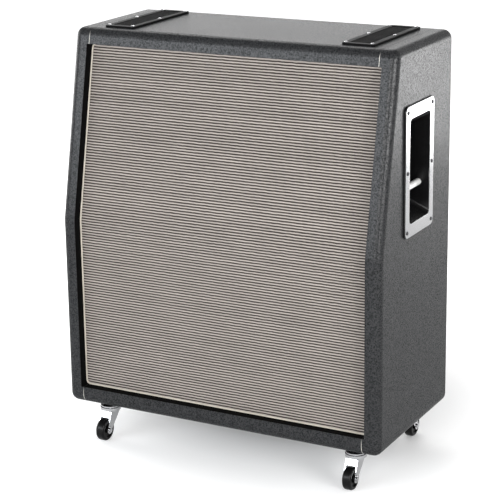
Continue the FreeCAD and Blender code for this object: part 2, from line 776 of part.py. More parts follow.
def shell():
    zone = front_zone("front_zone")
    covered = rounded_block("covered_block", "0")
    wood = rounded_block("wood_block", "covering")
    bare_mouth = mouth("bare_mouth", "covering")
    room = block(
        "inner_room",
        (f"-{inner_half_width}", "-cut_margin", "wall"),
        (inner_half_width, "cabinet_depth + cut_margin", inner_top),
    )
    skin = cut(
        "skin",
        opened("covered_open", covered, zone, mouth("covered_mouth", "0"), "0"),
        opened("wood_open", wood, zone, bare_mouth, "covering"),
    )
    holes = group("shell_holes", [
        handle_cutout("handle_cutout"),
        caster_holes("caster_holes"),
        handle_holes,
        top_holes,
    ])
    coverings = split(
        "covering", cut("skin_with_holes", skin, holes), f"({half_width} - seam_inset)",
        ("left_side_covering", "right_side_covering", "top_covering", "bottom_covering"),
    )
    walls = cut("walls", cut("bare_walls", wood, room), holes)
    panels = split(
        "panel", walls, inner_half_width,
        ("left_side_panel", "right_side_panel", "top_panel", "bottom_panel"),
    )
    slab = common("lip_slab", common("front_slab", wood, zone), room)
    rails = split(
        "rail", cut("lip_ring", slab, bare_mouth), f"({half_width} - side_band + covering)",
        ("left_rail", "right_rail", "top_rail", "bottom_rail"),
    )
    return [*coverings, *panels, group("front_lip_rails", rails)]


# Boards inside: baffles, battens, post and rear panel


def board_top(depth):
    return f"(({inner_top} - fit_gap - bend_height + {depth} * sin({lean})) / cos({lean}))"


def strip_corners(near, far, upper):
    if upper:
        return (
            (near, f"{near} * {mitre}"),
            (near, board_top(near)),
            (far, board_top(far)),
            (far, f"{far} * {mitre}"),
        )
    low = "(wall + fit_gap - bend_height)"
    return ((near, low), (near, f"-{near} * {mitre}"), (far, f"-{far} * {mitre}"), (far, low))


def bend_body(label, upper):
    return new_body(label, bend_place, lean, lean_axis) if upper else new_body(label, bend_place)


def baffle(label, upper):
    body = bend_body(label, upper)
    profile = new_sketch(body, "YZ_Plane")
    outline(profile, strip_corners(baffle_front, baffle_back, upper))
    add_pad(body, profile, f"2 * ({inner_half_width} - fit_gap)", middle=True)
    holes = new_sketch(body, "XZ_Plane")
    row = "speaker_row" if upper else "-speaker_row"
    for side in (-1, 1):
        column = f"{side} * speaker_column"
        circle(holes, column, row, "cutout_radius")
        for n in range(bolt_count):
            angle = f"{360 * n / bolt_count} deg"
            across = f"{column} + bolt_circle * cos({angle})"
            along = f"{row} + bolt_circle * sin({angle})"
            circle(holes, across, along, "bolt_radius + screw_gap")
    add_pocket(body, holes)
    return body


def baffle_batten(label, upper):
    body = bend_body(label, upper)
    profile = new_sketch(body, "YZ_Plane", lift=f"{inner_half_width} - batten")
    outline(profile, strip_corners(baffle_back, f"({baffle_back} + batten)", upper))
    add_pad(body, profile, "batten")
    add_mirror(body, "YZ_Plane")
    return body


def centre_post():
    body = new_body("centre_post", bend_place)
    profile = new_sketch(body, "YZ_Plane")
    outline(profile, (
        (baffle_back, "-post / 2"),
        (baffle_back, f"-{baffle_back} * {mitre}"),
        (f"{baffle_back} + (post / 2 + {baffle_back} * {mitre}) * {slope}", "post / 2"),
        (rear_panel_front, "post / 2"),
        (rear_panel_front, "-post / 2"),
    ))
    add_pad(body, profile, "post", middle=True)
    return body


def rear_sheet(label, near, far):
    half = f"({inner_half_width} - covering - fit_gap)"
    low = "(wall + covering + fit_gap)"
    high = f"({inner_top} - covering - fit_gap)"
    return cut(label, block(f"{label}_sheet", (f"-{half}", near, low), (half, far, high)), rear_holes)


def rear_battens():
    near = f"({rear_panel_front} - batten)"
    side = f"({inner_half_width} - batten)"
    low = "(wall + batten)"
    high = f"({inner_top} - batten)"
    strips = (
        ((f"-{inner_half_width}", near, "wall"), (f"-{side}", rear_panel_front, inner_top)),
        ((side, near, "wall"), (inner_half_width, rear_panel_front, inner_top)),
        ((f"-{side}", near, high), (side, rear_panel_front, inner_top)),
        ((f"-{side}", near, "wall"), (side, rear_panel_front, low)),
    )
    frame = [block(f"rear_batten_{n}", start, end) for n, (start, end) in enumerate(strips)]
    return cut("rear_battens", group("rear_batten_frame", frame), rear_ring_holes)


def boards():
    return [
        baffle("upper_baffle", True),
        baffle("lower_baffle", False),
        group("baffle_battens", [
            baffle_batten("upper_battens", True),
            baffle_batten("lower_battens", False),
        ]),
        centre_post(),
        rear_sheet("rear_panel", rear_panel_front, f"({rear_face} - covering)"),
        rear_sheet("rear_covering", f"({rear_face} - covering)", rear_face),
        rear_battens(),
    ]


# The grille: cloth over the baffles, and the beading around it


def grille_cloth():
    body = new_body("grille_cloth", shell_place)
    profile = new_sketch(body, "YZ_Plane")
    low = "(wall + fit_gap)"
    high = f"({inner_top} - fit_gap)"
    outline(profile, (
        ("grille_recess", low),
        ("grille_recess", bend_point("grille_recess")),
        (lean_line("grille_recess", high), high),
        (lean_line(baffle_front, high), high),
        (baffle_front, bend_point(baffle_front)),
        (baffle_front, low),
    ))
    add_pad(body, profile, f"2 * ({inner_half_width} - fit_gap)", middle=True)
    return body


def rounded_run(points, radii):
    # A wire of straight runs joined by tangent arcs, with one radius for each inner point
    edges = []
    last = points[0]
    for point, after_point, radius in zip(points[1:], points[2:], radii):
        before = (last - point).normalize()
        after = (after_point - point).normalize()
        half_turn = (math.pi - before.getAngle(after)) / 2
        reach = radius * math.tan(half_turn)
        inward = (before + after).normalize()
        middle = point + inward * (radius / math.cos(half_turn) - radius)
        edges.append(Part.LineSegment(last, point + before * reach).toShape())
        last = point + after * reach
        edges.append(Part.Arc(point + before * reach, middle, last).toShape())
    edges.append(Part.LineSegment(last, points[-1]).toShape())
    return Part.Wire(edges)


def tube(label, run, radius):
    first = run.Edges[0]
    start = first.Vertexes[0].Point
    ring = Part.Wire(Part.makeCircle(radius, start, first.tangentAt(first.FirstParameter)))
    made = document.addObject("Part::Feature", label)
    made.Shape = run.makePipeShell([ring], True, False)
    place(made, shell_place)
    document.recompute()
    share = made.Shape.Volume / (math.pi * radius ** 2 * run.Length)
    print(f"{label}: volume over section times length {share:.6f}")
    return made


def grille_beading():
    inset = "(bead_radius + seat_gap)"
    depth = f"(grille_recess - {inset})"
    half = value(f"{half_width} - side_band - {inset}")
    high = f"(cabinet_height - top_band - {inset})"
    levels = (
        (value(depth), value(f"bottom_band + {inset}"), "bead_corner"),
        (value(depth), value(bend_point(depth)), "bead_bend"),
        (value(lean_line(depth, high)), value(high), "bead_corner"),
    )
    right = [(Vector(half, y, z), value(bend)) for y, z, bend in levels]
    left = [(Vector(-point.x, point.y, point.z), bend) for point, bend in reversed(right)]
    corners = [point for point, bend in right + left]
    bends = [bend for point, bend in right + left]
    middle = (corners[0] + corners[-1]) / 2
    return tube("grille_beading", rounded_run([middle, *corners, middle], bends), value("bead_radius"))


# Loudspeakers: each is turned about its own Y axis, with the back of the baffle at y = 0


def speaker_body(label, side, upper):
    column = f"{side} * speaker_column"
    if not upper:
        base = (column, f"{front} + {baffle_back}", "caster_height + bend_height - speaker_row")
        return new_body(label, base)
    base = (
        column,
        f"{front} + {baffle_back} * cos({lean}) + speaker_row * sin({lean})",
        f"caster_height + bend_height - {baffle_back} * sin({lean}) + speaker_row * cos({lean})",
    )
    return new_body(label, base, lean, lean_axis)


def turned_piece(label, seat, corners):
    body = speaker_body(label, *seat)
    profile = new_sketch(body, "XY_Plane")
    outline(profile, corners)
    add_turned(body, profile)
    return body


def ring_corners(inner, outer, near, far):
    return ((inner, near), (outer, near), (outer, far), (inner, far))


def bolt_hole(profile):
    circle(profile, "bolt_circle", "0", "bolt_radius + screw_gap")


def speaker_frame(label, seat):
    rim = "(gasket + flange)"
    back_face = "(basket_depth + flange)"
    ledge_face = "(basket_depth - ledge_height)"
    ledge_edge = "(ledge_radius + ledge_width)"
    body = turned_piece(label, seat, (
        ("surround_radius", "gasket"),
        ("speaker_radius", "gasket"),
        ("speaker_radius", rim),
        ("cutout_radius + flange", rim),
        ("basket_back_radius", "basket_depth"),
        ("basket_back_radius", back_face),
        (gap_radius, back_face),
        (gap_radius, "basket_depth"),
        ("ledge_radius", "basket_depth"),
        ("ledge_radius", ledge_face),
        (ledge_edge, ledge_face),
        (ledge_edge, "basket_depth"),
        ("basket_back_radius - flange", "basket_depth"),
        ("cutout_radius", rim),
        ("surround_radius", rim),
    ))
    profile = new_sketch(body, "XZ_Plane")
    start = f"{180 / window_count} deg - window_angle * 1 deg"
    end = f"{180 / window_count} deg + window_angle * 1 deg"
    outline(profile, (
        (f"window_inner * cos({start})", f"window_inner * sin({start})"),
        (f"window_outer * cos({start})", f"window_outer * sin({start})", "-window_outer"),
        (f"window_outer * cos({end})", f"window_outer * sin({end})"),
        (f"window_inner * cos({end})", f"window_inner * sin({end})", "window_inner"),
    ))
    bolt_hole(profile)
    pocket = add_pocket(body, profile)
    add_ring(body, "Y_Axis", window_count, [pocket])
    return body


def speaker_gasket(label, seat):
    body = turned_piece(label, seat, ring_corners("cutout_radius", "speaker_radius", "0", "gasket"))
    profile = new_sketch(body, "XZ_Plane")
    bolt_hole(profile)
    pocket = add_pocket(body, profile)
    add_ring(body, "Y_Axis", bolt_count, [pocket])
    return body


def speaker_bolts(label, seat):
    body = speaker_body(label, *seat)
    profile = new_sketch(body, "XY_Plane", "bolt_circle", "gasket + flange")
    shank = "(gasket + flange + panel)"
    add_screw(body, profile, "bolt_radius", shank, "bolt_head_radius", "bolt_head_height")
    add_ring(body, "Y_Axis", bolt_count)
    return body


def speaker_cone(label, seat):
    coil_inside = "(coil_radius - coil_wall)"
    coil_end = "(cone_depth + coil_length)"
    body = turned_piece(label, seat, (
        (coil_inside, coil_end),
        ("coil_radius", coil_end),
        ("coil_radius", "cone_depth"),
        ("cone_radius", "gasket + paper"),
        ("cone_radius", "gasket"),
        (coil_inside, "cone_depth - paper"),
    ))
    fall = "(cone_radius - cap_radius) / (cone_radius - coil_radius)"
    edge = f"(gasket + {fall} * (cone_depth - gasket - paper))"
    sphere = "((cap_radius * cap_radius + cap_rise * cap_rise) / (2 * cap_rise))"
    profile = new_sketch(body, "XY_Plane")
    outline(profile, (
        ("0", f"{edge} - cap_rise", f"-{sphere}"),
        ("cap_radius", edge),
        ("cap_radius", f"{edge} + paper", sphere),
        ("0", f"{edge} - cap_rise + paper"),
    ))
    add_turned(body, profile)
    return body


def speaker_surround(label, seat):
    inside = "(cone_radius + seat_gap)"
    outside = "(surround_radius + paper)"
    roll = f"(({outside} - {inside}) * roll_share)"
    inner_roll = f"(({outside} - {inside} - 2 * paper) * roll_share)"
    face = "(gasket - paper)"
    return turned_piece(label, seat, (
        (inside, face, f"-{roll}"),
        (outside, face),
        ("cutout_radius - seat_gap", face),
        ("cutout_radius - seat_gap", "gasket"),
        (f"{outside} - paper", "gasket", inner_roll),
        (f"{inside} + paper", "gasket"),
        (inside, "gasket"),
    ))


def speaker_spider(label, seat):
    far = "(basket_depth - ledge_height)"
    inside = "(coil_radius + seat_gap)"
    outside = "(ledge_radius + ledge_width)"
    return turned_piece(label, seat, ring_corners(inside, outside, f"({far} - paper)", far))


def speaker_top_plate(label, seat):
    far = f"({motor_front} + plate)"
    return turned_piece(label, seat, ring_corners(gap_radius, "plate_radius", motor_front, far))


def speaker_magnet(label, seat):
    near = f"({motor_front} + plate)"
    return turned_piece(label, seat, ring_corners("magnet_bore", "magnet_radius", near, f"({near} + magnet)"))


def speaker_pole_plate(label, seat):
    near = f"({motor_front} + plate + magnet)"
    pole = "(coil_radius - coil_wall - coil_gap)"
    return turned_piece(label, seat, (
        ("0", motor_front),
        (pole, motor_front),
        (pole, near),
        ("plate_radius", near),
        ("plate_radius", f"{near} + plate"),
        ("0", f"{near} + plate"),
    ))


def speakers():
    made = []
    for name, seat in speaker_seats.items():
        made.append(speaker_frame(f"speaker_frame_{name}", seat))
        made.append(speaker_cone(f"speaker_cone_{name}", seat))
    shared = {
        "speaker_gaskets": speaker_gasket,
        "speaker_surrounds": speaker_surround,
        "speaker_spiders": speaker_spider,
        "speaker_top_plates": speaker_top_plate,
        "speaker_magnets": speaker_magnet,
        "speaker_pole_plates": speaker_pole_plate,
        "speaker_bolts": speaker_bolts,
    }
    for label, maker in shared.items():
        pieces = [maker(f"{label}_{name}", seat) for name, seat in speaker_seats.items()]
        made.append(group(label, pieces))
    return made


# Leads from the jack to the loudspeakers, each ending on the frame's rib that faces the cabinet's middle


def lead_end(upper, off):
    # A point at a distance from the rib's face, as x, y and z in the shell's own place
    fall = "(cutout_radius + flange - basket_back_radius)"
    run = "(basket_depth - gasket - flange)"
    rib_depth = f"(gasket + flange + (cutout_radius + flange - lead_place) * {run} / {fall})"
    steep = f"sqrt({fall} * {fall} + {run} * {run})"
    across = value(f"speaker_column - lead_place - {off} * {run} / {steep}")
    deep = f"({baffle_back} + {rib_depth} + {off} * {fall} / {steep})"
    if not upper:
        return Vector(across, value(deep), value("bend_height - speaker_row"))
    return Vector(
        across,
        value(f"{deep} * cos({lean}) + speaker_row * sin({lean})"),
        value(f"bend_height - {deep} * sin({lean}) + speaker_row * cos({lean})"),
    )


def speaker_lead(label, side, upper):
    level = 1 if upper else -1
    low = value(f"jack_height_place + {level} * lead_spread")
    jack_end = value(f"{rear_face} - jack_body_length")
    slack = value("lead_slack")
    spread = value("lead_spread")
    points = [Vector(spread, jack_end, low), Vector(spread, jack_end - slack, low)]
    if upper:
        past_post = value("post / 2 + lead_slack")
        behind = jack_end - 2 * slack
        points.append(Vector(past_post, behind, value("bend_height - post - lead_slack")))
        points.append(Vector(past_post, behind, value("bend_height + post + lead_slack")))
    points.extend([lead_end(upper, "lead_slack"), lead_end(upper, "0")])
    bends = [value("lead_bend")] * (len(points) - 2)
    run = rounded_run([Vector(side * point.x, point.y, point.z) for point in points], bends)
    return tube(label, run, value("lead_radius"))


def speaker_wiring():
    leads = [speaker_lead(f"{name}_lead", *seat) for name, seat in speaker_seats.items()]
    return group("speaker_wiring", leads)


# Side handles: the face of the covering is at x = 0 and the cup reaches to minus


def handle_body(label, side):
    base = (f"{side} * {half_width}", f"{front} + handle_depth_place", "caster_height + handle_height_place")
    return new_body(label, base) if side > 0 else new_body(label, base, "180", upright)


def add_loft(body, kind, sections):
    sketches = []
    for lift, width, height, corner in sections:
        profile = new_sketch(body, "YZ_Plane", lift=lift)
        rounded_rectangle(profile, width, height, corner)
        sketches.append(profile)
    made = body.newObject(f"PartDesign::{kind}", kind)
    made.Profile = sketches[0]
    made.Sections = sketches[1:]
    made.Ruled = True
    document.recompute()


def handle_cup(label, side, bar):
    body = handle_body(f"{label}_whole", side)
    profile = new_sketch(body, "YZ_Plane")
    rounded_rectangle(
        profile, "(handle_width + 2 * cup_margin)", "(handle_height + 2 * cup_margin)",
        "(handle_corner + cup_margin)",
    )
    add_pad(body, profile, "cup_flange")
    add_fillet(body, "cup_round", rim_edges("x", "cup_flange"))
    outer_corner = "(cup_corner + cup_wall)"
    add_loft(body, "AdditiveLoft", (
        ("0", "(cup_width + 2 * cup_wall)", "(cup_height + 2 * cup_wall)", outer_corner),
        (
            "-(cup_depth + cup_wall)", "(cup_floor_width + 2 * cup_wall)",
            "(cup_floor_height + 2 * cup_wall)", outer_corner,
        ),
    ))
    add_loft(body, "SubtractiveLoft", (
        ("cup_flange", "cup_width", "cup_height", "cup_corner"),
        ("-cup_depth", "cup_floor_width", "cup_floor_height", "cup_corner"),
    ))
    return cut(label, body, group(f"{label}_holes", [bar, handle_holes]))


def handle_frame(label, side):
    body = handle_body(f"{label}_plate", side)
    profile = new_sketch(body, "YZ_Plane", lift="cup_flange")
    rounded_rectangle(profile, "handle_width", "handle_height", "handle_corner")
    rounded_rectangle(profile, "cup_width", "cup_height", "cup_corner")
    add_pad(body, profile, "handle_frame")
    add_fillet(body, "frame_round", rim_edges("x", "cup_flange + handle_frame"))
    return cut(label, body, handle_holes)


def handle_bar(label, side):
    body = handle_body(label, side)
    profile = new_sketch(body, "XZ_Plane")
    circle(profile, "-bar_inset", "-bar_drop", "bar_radius")
    draw_in = "(cup_width - cup_floor_width) * bar_inset / (cup_depth + cup_wall)"
    add_pad(body, profile, f"cup_width + 2 * cup_wall - {draw_in} + fit_gap", middle=True)
    return body


def handles():
    made = []
    bars = []
    for name, side in (("left", -1), ("right", 1)):
        bar = handle_bar(f"{name}_handle_bar", side)
        bars.append(bar)
        made.append(handle_cup(f"{name}_handle_cup", side, bar))
        made.append(handle_frame(f"{name}_handle_frame", side))
    return [*made, group("handle_bars", bars), handle_fasteners("handle_screws", False)]


# Plates on top for the feet of an amplifier


def top_plates():
    body = new_body("top_plates_whole", top_plate_base)
    rim = new_sketch(body, "XY_Plane", "top_plate_place")
    rounded_rectangle(rim, "top_plate_width", "top_plate_length", "top_plate_corner")
    add_pad(body, rim, "top_plate")
    add_fillet(body, "top_plate_round", rim_edges("z", "top_plate"))
    well = new_sketch(body, "XY_Plane", "top_plate_place", lift="top_plate")
    rounded_rectangle(
        well, "(top_plate_width - 2 * top_plate_rim)", "(top_plate_length - 2 * top_plate_rim)",
        "(top_plate_corner / 2)",
    )
    add_pocket(body, well, "top_plate - top_plate_floor")
    add_mirror(body, "YZ_Plane")
    return cut("top_plates", body, top_holes)


def top_inlays():
    body = new_body("top_plate_inlays", top_plate_base)
    width = "(top_plate_width - 2 * top_plate_rim - 2 * seat_gap)"
    length = "(top_plate_length - 2 * top_plate_rim - 2 * seat_gap)"
    sheet_profile = new_sketch(body, "XY_Plane", "top_plate_place", lift="top_plate_floor")
    rounded_rectangle(sheet_profile, width, length, "(top_plate_corner / 2)")
    add_pad(body, sheet_profile, "inlay")
    pitch = f"({width} / {rib_count})"
    first = f"top_plate_place - {width} / 2 + {pitch} / 2"
    rib_profile = new_sketch(body, "XY_Plane", first, lift="top_plate_floor + inlay")
    rib_half = "(inlay_rib_width / 2)"
    rib_end = f"({length} / 2 - top_plate_corner)"
    outline(rib_profile, (
        (f"-{rib_half}", f"-{rib_end}"),
        (rib_half, f"-{rib_end}"),
        (rib_half, rib_end),
        (f"-{rib_half}", rib_end),
    ))
    rib = add_pad(body, rib_profile, "inlay_rib")
    row = body.newObject("PartDesign::LinearPattern", "Ribs")
    row.Originals = [rib]
    row.Direction = (origin_part(body, "X_Axis"), [""])
    row.Occurrences = rib_count
    bind(row, "Length", f"{pitch} * {rib_count - 1}")
    body.Tip = row
    document.recompute()
    add_mirror(body, "YZ_Plane")
    return body


# Casters: the stem's axis is the body's Z axis, and the wheel trails to -Y


def caster_body(label, side, end):
    base = (f"{side} * caster_place", f"{end} * (cabinet_depth / 2 - caster_inset)", "0")
    return new_body(label, base) if end < 0 else new_body(label, base, "180", upright)


def axle_body(label, side, end):
    along = f"{end} * (cabinet_depth / 2 - caster_inset + caster_trail)"
    return new_body(label, (f"{side} * caster_place", along, "wheel_radius"))


def caster_turned(label, seat, corners):
    body = caster_body(label, *seat)
    profile = new_sketch(body, "XZ_Plane")
    outline(profile, corners)
    add_turned(body, profile)
    return body


def caster_socket(label, seat):
    bore = "(stem_radius + seat_gap)"
    low = "(caster_height - socket_flange)"
    high = "(caster_height + stem_length)"
    return caster_turned(label, seat, (
        (bore, low),
        ("socket_flange_radius", low),
        ("socket_flange_radius", "caster_height"),
        ("socket_radius", "caster_height"),
        ("socket_radius", high),
        (bore, high),
    ))


def caster_stem(label, seat):
    rivet_face = "(crown_height - rivet_gap)"
    race_low = "(crown_height + bowl_rise + bowl_height + race_gap)"
    race_high = f"({race_low} + race)"
    socket_low = "(caster_height - socket_flange)"
    high = "(caster_height + stem_length)"
    return caster_turned(label, seat, (
        ("0", f"{rivet_face} - rivet"),
        ("rivet_radius", f"{rivet_face} - rivet"),
        ("rivet_radius", rivet_face),
        ("pivot_radius", rivet_face),
        ("pivot_radius", race_low),
        ("race_radius", race_low),
        ("race_radius", f"{race_low} + race / 2"),
        ("race_neck_radius", race_high),
        ("race_neck_radius", socket_low),
        ("stem_radius", socket_low),
        ("stem_radius", high),
        ("0", high),
    ))


def caster_fork(label, seat):
    hole = "(pivot_radius + run_gap)"
    crown_top = "(crown_height + crown)"
    bowl_low = "(crown_height + bowl_rise)"
    bowl_floor = f"({bowl_low} + bowl_wall)"
    bowl_rim = f"({bowl_low} + bowl_height)"
    body = caster_turned(label, seat, (
        (hole, "crown_height"),
        ("groove_radius", "crown_height"),
        ("groove_radius", bowl_low),
        ("bowl_radius", bowl_low),
        ("bowl_radius", bowl_rim),
        ("bowl_radius - bowl_wall", bowl_rim),
        ("bowl_radius - bowl_wall", bowl_floor),
        (hole, bowl_floor),
    ))
    legs = new_sketch(body, "YZ_Plane")
    outline(legs, (
        ("-fork_front", crown_top),
        ("-caster_trail - fork_boss", "wheel_radius", "-fork_boss"),
        ("-caster_trail", "wheel_radius - fork_boss", "-fork_boss"),
        ("-caster_trail + fork_boss", "wheel_radius"),
        ("fork_back", "crown_height"),
        ("fork_back", crown_top),
    ))
    add_pad(body, legs, "fork_gap + 2 * fork_leg", middle=True)
    far = "(caster_trail + 2 * wheel_radius)"
    slot = new_sketch(body, "YZ_Plane")
    outline(slot, (
        (f"-{far}", "-fork_boss"),
        (far, "-fork_boss"),
        (far, "crown_height"),
        ("-apron_back", "crown_height"),
        ("-apron_back", "apron_height"),
        (f"-{far}", "apron_height"),
    ))
    add_pocket(body, slot, "fork_gap", middle=True)
    leg_holes = new_sketch(body, "YZ_Plane")
    circle(leg_holes, "-caster_trail", "wheel_radius", "axle_radius + run_gap")
    circle(leg_holes, "-caster_trail", "wheel_radius + leg_hole_rise", "leg_hole_radius")
    add_pocket(body, leg_holes)
    pivot_hole = new_sketch(body, "XY_Plane", lift="crown_height")
    circle(pivot_hole, "0", "0", hole)
    add_pocket(body, pivot_hole)
    return body


def caster_wheel(label, seat):
    body = axle_body(label, *seat)
    profile = new_sketch(body, "XY_Plane")
    bore = "(axle_radius + run_gap)"
    half = "(wheel_width / 2)"
    shoulder = "(wheel_radius - tread_radius)"
    left = (
        ("-hub_face / 2", bore),
        ("-hub_face / 2", "hub_radius"),
        ("-web_width / 2", "hub_radius"),
        ("-web_width / 2", "rim_radius"),
        (f"-{half}", "rim_radius"),
        (f"-{half}", shoulder, "tread_radius"),
        (f"-{half} + tread_radius", "wheel_radius"),
    )
    right = (
        (f"{half} - tread_radius", "wheel_radius", "tread_radius"),
        (half, shoulder),
        (half, "rim_radius"),
        ("web_width / 2", "rim_radius"),
        ("web_width / 2", "hub_radius"),
        ("hub_face / 2", "hub_radius"),
        ("hub_face / 2", bore),
    )
    outline(profile, left + right)
    add_turned(body, profile, "H_Axis")
    return body


def caster_axle(label, seat):
    body = axle_body(label, *seat)
    profile = new_sketch(body, "XY_Plane")
    seat_face = "(fork_gap / 2 + fork_leg)"
    tip = f"({seat_face} + axle_head)"
    outline(profile, (
        (f"-{tip}", "0"),
        (f"-{tip}", "axle_head_radius"),
        (f"-{seat_face}", "axle_head_radius"),
        (f"-{seat_face}", "axle_radius"),
        (seat_face, "axle_radius"),
        (seat_face, "axle_head_radius"),
        (tip, "axle_head_radius"),
        (tip, "0"),
    ))
    add_turned(body, profile, "H_Axis")
    return body


def casters():
    seats = {
        "front_left": (-1, -1),
        "front_right": (1, -1),
        "rear_left": (-1, 1),
        "rear_right": (1, 1),
    }
    made = []
    for label, maker in (("caster_sockets", caster_socket), ("caster_stems", caster_stem)):
        made.append(group(label, [maker(f"{label}_{name}", seat) for name, seat in seats.items()]))
    for name, seat in seats.items():
        made.append(caster_fork(f"caster_fork_{name}", seat))
        made.append(caster_axle(f"caster_axle_{name}", seat))
        made.append(caster_wheel(f"caster_wheel_{name}", seat))
    return made


# The jack on the rear panel


def jack_plate():
    body = new_body("jack_plate_whole", jack_base)
    profile = new_sketch(body, "XZ_Plane")
    rounded_rectangle(profile, "jack_plate_width", "jack_plate_height", "jack_plate_corner")
    circle(profile, "0", "0", "jack_bush_radius + screw_gap")
    add_pad(body, profile, "jack_plate", backward=True)
    return cut("jack_plate", body, jack_holes)


def jack_socket():
    body = new_body("jack_socket", jack_base)
    profile = new_sketch(body, "XY_Plane")
    nut_face = "(jack_plate + jack_nut)"
    mouth_face = f"({nut_face} + jack_bush)"
    outline(profile, (
        ("jack_bore", mouth_face),
        ("jack_bush_radius", mouth_face),
        ("jack_bush_radius", nut_face),
        ("jack_nut_radius", nut_face),
        ("jack_nut_radius", "jack_plate"),
        ("jack_bush_radius", "jack_plate"),
        ("jack_bush_radius", "0"),
        ("jack_body_radius", "0"),
        ("jack_body_radius", "-jack_body_length"),
        ("0", "-jack_body_length"),
        ("0", "-jack_body_length + jack_end"),
        ("jack_bore", "-jack_body_length + jack_end"),
    ))
    add_turned(body, profile)
    return body


def jack_clearance():
    body = new_body("jack_clearance", jack_base)
    profile = new_sketch(body, "XZ_Plane")
    circle(profile, "0", "0", "jack_hole_radius")
    add_pad(body, profile, "2 * (panel + covering)", middle=True)
    return body


gap_radius = "(coil_radius + coil_gap)"
motor_front = "(basket_depth + flange)"
speaker_seats = {
    "upper_left": (-1, True),
    "upper_right": (1, True),
    "lower_left": (-1, False),
    "lower_right": (1, False),
}
handle_holes = handle_fasteners("handle_screw_holes", True)
top_holes = top_fasteners("top_screw_holes", True)
rear_ring_holes = group("rear_screw_holes", rear_fastener_ring("rear_screw_hole", True))
jack_holes = jack_fasteners("jack_screw_holes", True)
rear_holes = group("rear_panel_holes", [rear_ring_holes, jack_holes, jack_clearance()])
nodes = [
    *shell(),
    *boards(),
    grille_cloth(),
    grille_beading(),
    *speakers(),
    speaker_wiring(),
    *handles(),
    top_plates(),
    top_inlays(),
    top_fasteners("top_plate_screws", False),
    *casters(),
    jack_plate(),
    jack_socket(),
    group("rear_screws", [
        *rear_fastener_ring("rear_panel_screws", False),
        jack_fasteners("jack_plate_screws", False),
    ]),
]


def check_document():
    failed = [item.Label for item in document.Objects if {"Invalid", "Error"} & set(item.State)]
    broken = [node.Label for node in nodes if node.Shape.isNull() or not node.Shape.isValid()]
    empty = [node.Label for node in nodes if not node.Shape.Solids]
    if failed or broken or empty:
        raise RuntimeError(f"failed {failed}, not valid {broken}, no solid {empty}")


def write_nodes():
    os.makedirs("parts", exist_ok=True)
    for node in nodes:
        node.Shape.exportStep(f"parts/{node.Label}.step")
        solids = node.Shape.Solids
        print(f"{node.Label}: {len(solids)} solids, {sum(solid.Volume for solid in solids) / 1000:.1f} cm3")


document.recompute()
check_document()
write_nodes()
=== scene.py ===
import json
import math

import bpy
from mathutils import Matrix, Vector, noise


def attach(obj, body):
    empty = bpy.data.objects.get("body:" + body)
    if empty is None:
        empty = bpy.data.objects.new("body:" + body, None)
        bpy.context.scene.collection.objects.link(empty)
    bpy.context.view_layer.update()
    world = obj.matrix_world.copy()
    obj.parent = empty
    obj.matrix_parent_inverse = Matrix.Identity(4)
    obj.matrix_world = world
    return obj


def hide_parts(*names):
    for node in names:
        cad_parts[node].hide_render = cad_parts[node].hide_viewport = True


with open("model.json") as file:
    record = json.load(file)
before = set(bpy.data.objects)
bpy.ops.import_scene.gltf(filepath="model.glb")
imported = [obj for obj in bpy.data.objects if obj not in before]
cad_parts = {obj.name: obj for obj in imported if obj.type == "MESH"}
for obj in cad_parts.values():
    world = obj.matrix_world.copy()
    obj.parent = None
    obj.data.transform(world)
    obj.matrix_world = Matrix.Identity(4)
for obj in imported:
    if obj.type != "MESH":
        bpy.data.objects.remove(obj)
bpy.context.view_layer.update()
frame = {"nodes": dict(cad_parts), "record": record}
nodes = frame["nodes"]
subparts = frame["record"]["subparts"]
print("frame loaded:", len(nodes), "nodes")

# Main sizes of the cabinet in metres, shared by the pieces made below
cabinet = {
    "halfWidth": 0.3775,
    "front": -0.189,
    "back": 0.189,
    "bottom": 0.090,
    "top": 0.920,
    "bend": 0.511,  # where the front begins to lean
    "setback": 0.083,  # of the front's top edge
    "edge": 0.020,  # rounding of the outer edges
    "sideBand": 0.033,
    "topBand": 0.0335,
    "bottomBand": 0.038,
    "recess": 0.024,  # front rim to the cloth
}
slope = cabinet["setback"] / (cabinet["top"] - cabinet["bend"])
lean = math.atan(slope)


# Node helpers


def setSocket(tree, socket, value):
    # Another node's output is linked, anything else is the socket's own value
    if isinstance(value, bpy.types.NodeSocket):
        tree.links.new(value, socket)
    else:
        socket.default_value = value


def addNode(tree, kind, inputs=None, **settings):
    made = tree.nodes.new(kind)
    for name, value in settings.items():
        setattr(made, name, value)
    for name, value in (inputs or {}).items():
        setSocket(tree, made.inputs[name], value)
    return made


def calc(tree, operation, first, second=0.0):
    return addNode(tree, "ShaderNodeMath", {0: first, 1: second}, operation=operation).outputs[0]


def calcVector(tree, operation, first, second):
    inputs = {0: first, 1: second}
    return addNode(tree, "ShaderNodeVectorMath", inputs, operation=operation).outputs[0]


def addShares(tree, values, shares):
    # Sum of the values, each times its share
    total = calc(tree, "MULTIPLY", values[0], shares[0])
    for value, share in zip(values[1:], shares[1:]):
        total = calc(tree, "ADD", total, calc(tree, "MULTIPLY", value, share))
    return total


def remap(tree, value, low, high, toLow=0.0, toHigh=1.0):
    inputs = {"Value": value, "From Min": low, "From Max": high, "To Min": toLow, "To Max": toHigh}
    return addNode(tree, "ShaderNodeMapRange", inputs).outputs["Result"]


def mixColour(tree, share, first, second):
    made = addNode(tree, "ShaderNodeMix", {"Factor": share}, data_type="RGBA")
    for place, value in ((6, first), (7, second)):  # the node's two colour inputs
        linked = isinstance(value, bpy.types.NodeSocket)
        setSocket(tree, made.inputs[place], value if linked else (*value, 1.0))
    return made.outputs[2]


def shade(colour, factor):
    return tuple(min(1.0, factor * part) for part in colour)


def mixShades(tree, share, colour, factors):
    # From one shade of a colour to another
    return mixColour(tree, share, *(shade(colour, factor) for factor in factors))


